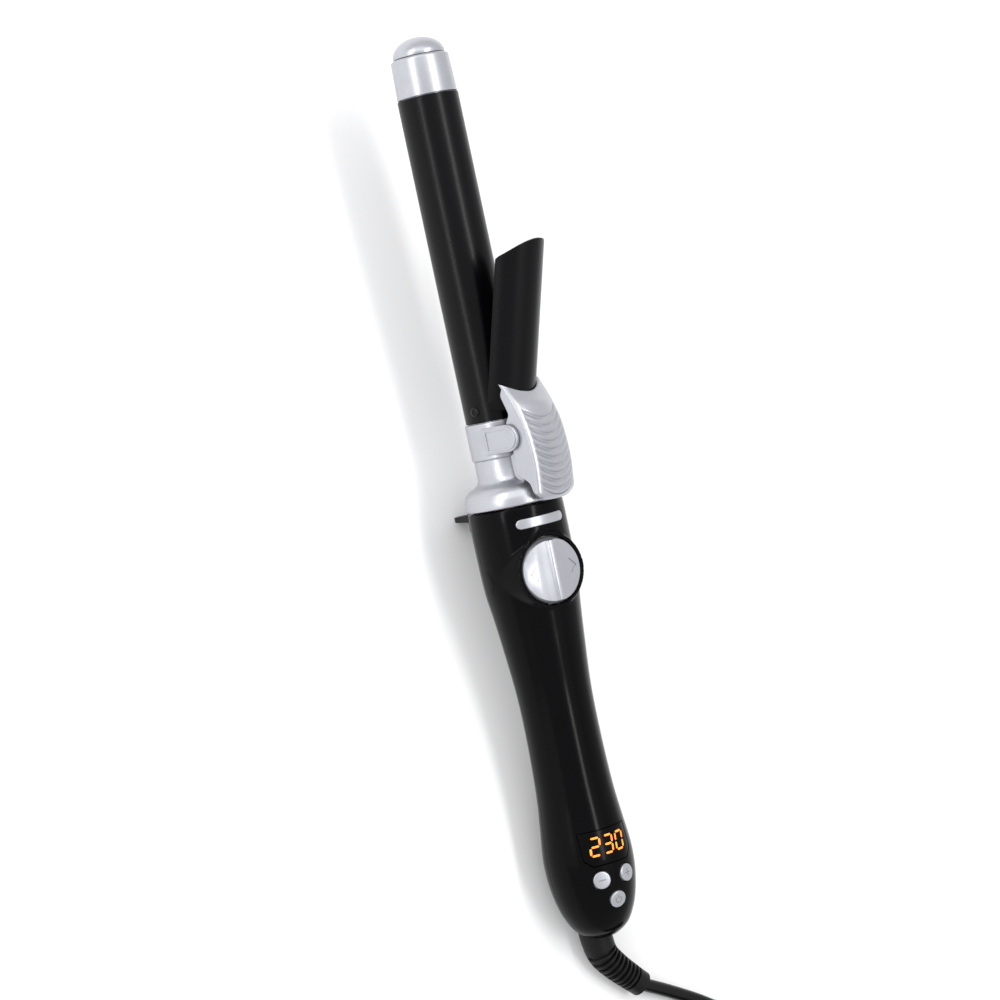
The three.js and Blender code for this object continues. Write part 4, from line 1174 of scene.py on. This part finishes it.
def make_spring():
    coil = [(PIVOT_X - 8.4, -6.4, PIVOT_Z + 1.6)]
    for step in range(121):
        angle = math.pi / 2 + step * math.pi / 12
        y = (step / 24 - 2.5) * 1.8
        coil.append((PIVOT_X + 2.9 * math.cos(angle), y, PIVOT_Z + 2.9 * math.sin(angle)))
    coil.append((PIVOT_X + 6.2, 4.8, PIVOT_Z + 3.3))
    spring = swept("clip_spring_look", coil, lambda run, angle: 0.45, 10)
    set_out(spring, BARREL, "barrel", FINISHES["steel"], "clip_spring", 60)


def boot_radius(run, angle):
    """Smooth at the handle, then tapering, with ring slots broken by two spines along it, then a plain end."""
    radius = 6.9 - 1.5 * min(max((run - 12) / 32, 0), 1)
    if RIB_START < run < RIB_END:
        phase = (run - RIB_START) / RIB_PITCH
        open_side = smoothstep(abs(math.sin(angle - 0.4)), 0.1, 0.25)
        wave = smoothstep(abs(phase % 1 - 0.5), 0.16, 0.3)
        radius -= 1.25 * (1 - wave) * open_side
    return radius


def make_boot():
    line = smooth_line(BOOT_ROUTE, 34)
    boot = swept("boot", line, boot_radius, 72)
    neck = turned("neck", [(-170, 0), (-170, 4.2), (-160, 4.2), (-160, 5.6), (-158, 5.6), (-158, 0)], 64)
    centre = IRON.inverted() @ Vector(joints["cord_swivel"]["pos_m"])
    neck = moved(neck, CORD.inverted() @ IRON @ Matrix.Translation((0, 0, centre.z)))
    relief = merged("strain_relief_look", boot, neck)
    set_out(relief, CORD, "cord", FINISHES["rubber_black"], "strain_relief", 40)


def plug_section(x, half_width, half_height, sides=64):
    """A rounded oblong across the plug."""
    ring = []
    for j in range(sides):
        angle = 2 * math.pi * j / sides
        c, s = math.cos(angle), math.sin(angle)
        y = math.copysign(abs(c) ** 0.55, c) * half_width
        z = math.copysign(abs(s) ** 0.55, s) * half_height
        ring.append((x, y, z))
    return ring


def make_plug():
    stand = CORD @ Matrix.Translation(PLUG_PLACE) @ Matrix.Rotation(math.radians(90), 4, "Z")
    body = loft("plug_body_look", [plug_section(*section) for section in PLUG_SECTIONS])
    for y in (-9.3, 9.3):
        cut(body, rod("hole", (42, y, 0), (46, y, 0), 2.3, 32))
    softened(body, 0.25, 2, 50)
    relief = [(0, 0), (0, 3.5), (0.3, 3.8)]
    for i in range(4):
        relief += [(1 + i * 2, 4 + i * 0.22), (1.4 + i * 2, 3.3 + i * 0.22), (2.1 + i * 2, 3.3 + i * 0.22)]
        relief += [(2.5 + i * 2, 4.1 + i * 0.22)]
    sleeve = turned("sleeve", [*relief, (10.5, 5.15), (10.5, 0)], 48)
    plug = merged("plug_body_look", body, sleeve)
    set_out(plug, stand, "cord", FINISHES["black_plastic"], "plug_body", 40)
    for name, y in (("left", 9.3), ("right", -9.3)):
        pin = turned("pin", [(42.4, 0), (42.4, 2), (62, 2), *arc(62, 0, 2, 90, 15, 6), (64, 0)], 40)
        pin = moved(pin, Matrix.Translation((0, y, 0)))
        pin.name = f"plug_pin_{name}_look"
        set_out(pin, stand, "cord", FINISHES["brass"], f"plug_pin_{name}")


make_collar()
make_barrel()
make_lever()
make_plate()
make_stand()
make_spring()
make_boot()
make_plug()


# ---- Floor ----
def make_floor():
    work = bmesh.new()
    bmesh.ops.create_grid(work, x_segments=24, y_segments=24, size=3)
    mesh = bpy.data.meshes.new("floor")
    work.to_mesh(mesh)
    work.free()
    floor = bpy.data.objects.new("floor", mesh)
    bpy.context.scene.collection.objects.link(floor)
    mesh.materials.append(make_finish("pale_floor", (0.88, 0.88, 0.88), 0.7, tone=0.01, drift=3, grain=300))


make_floor()
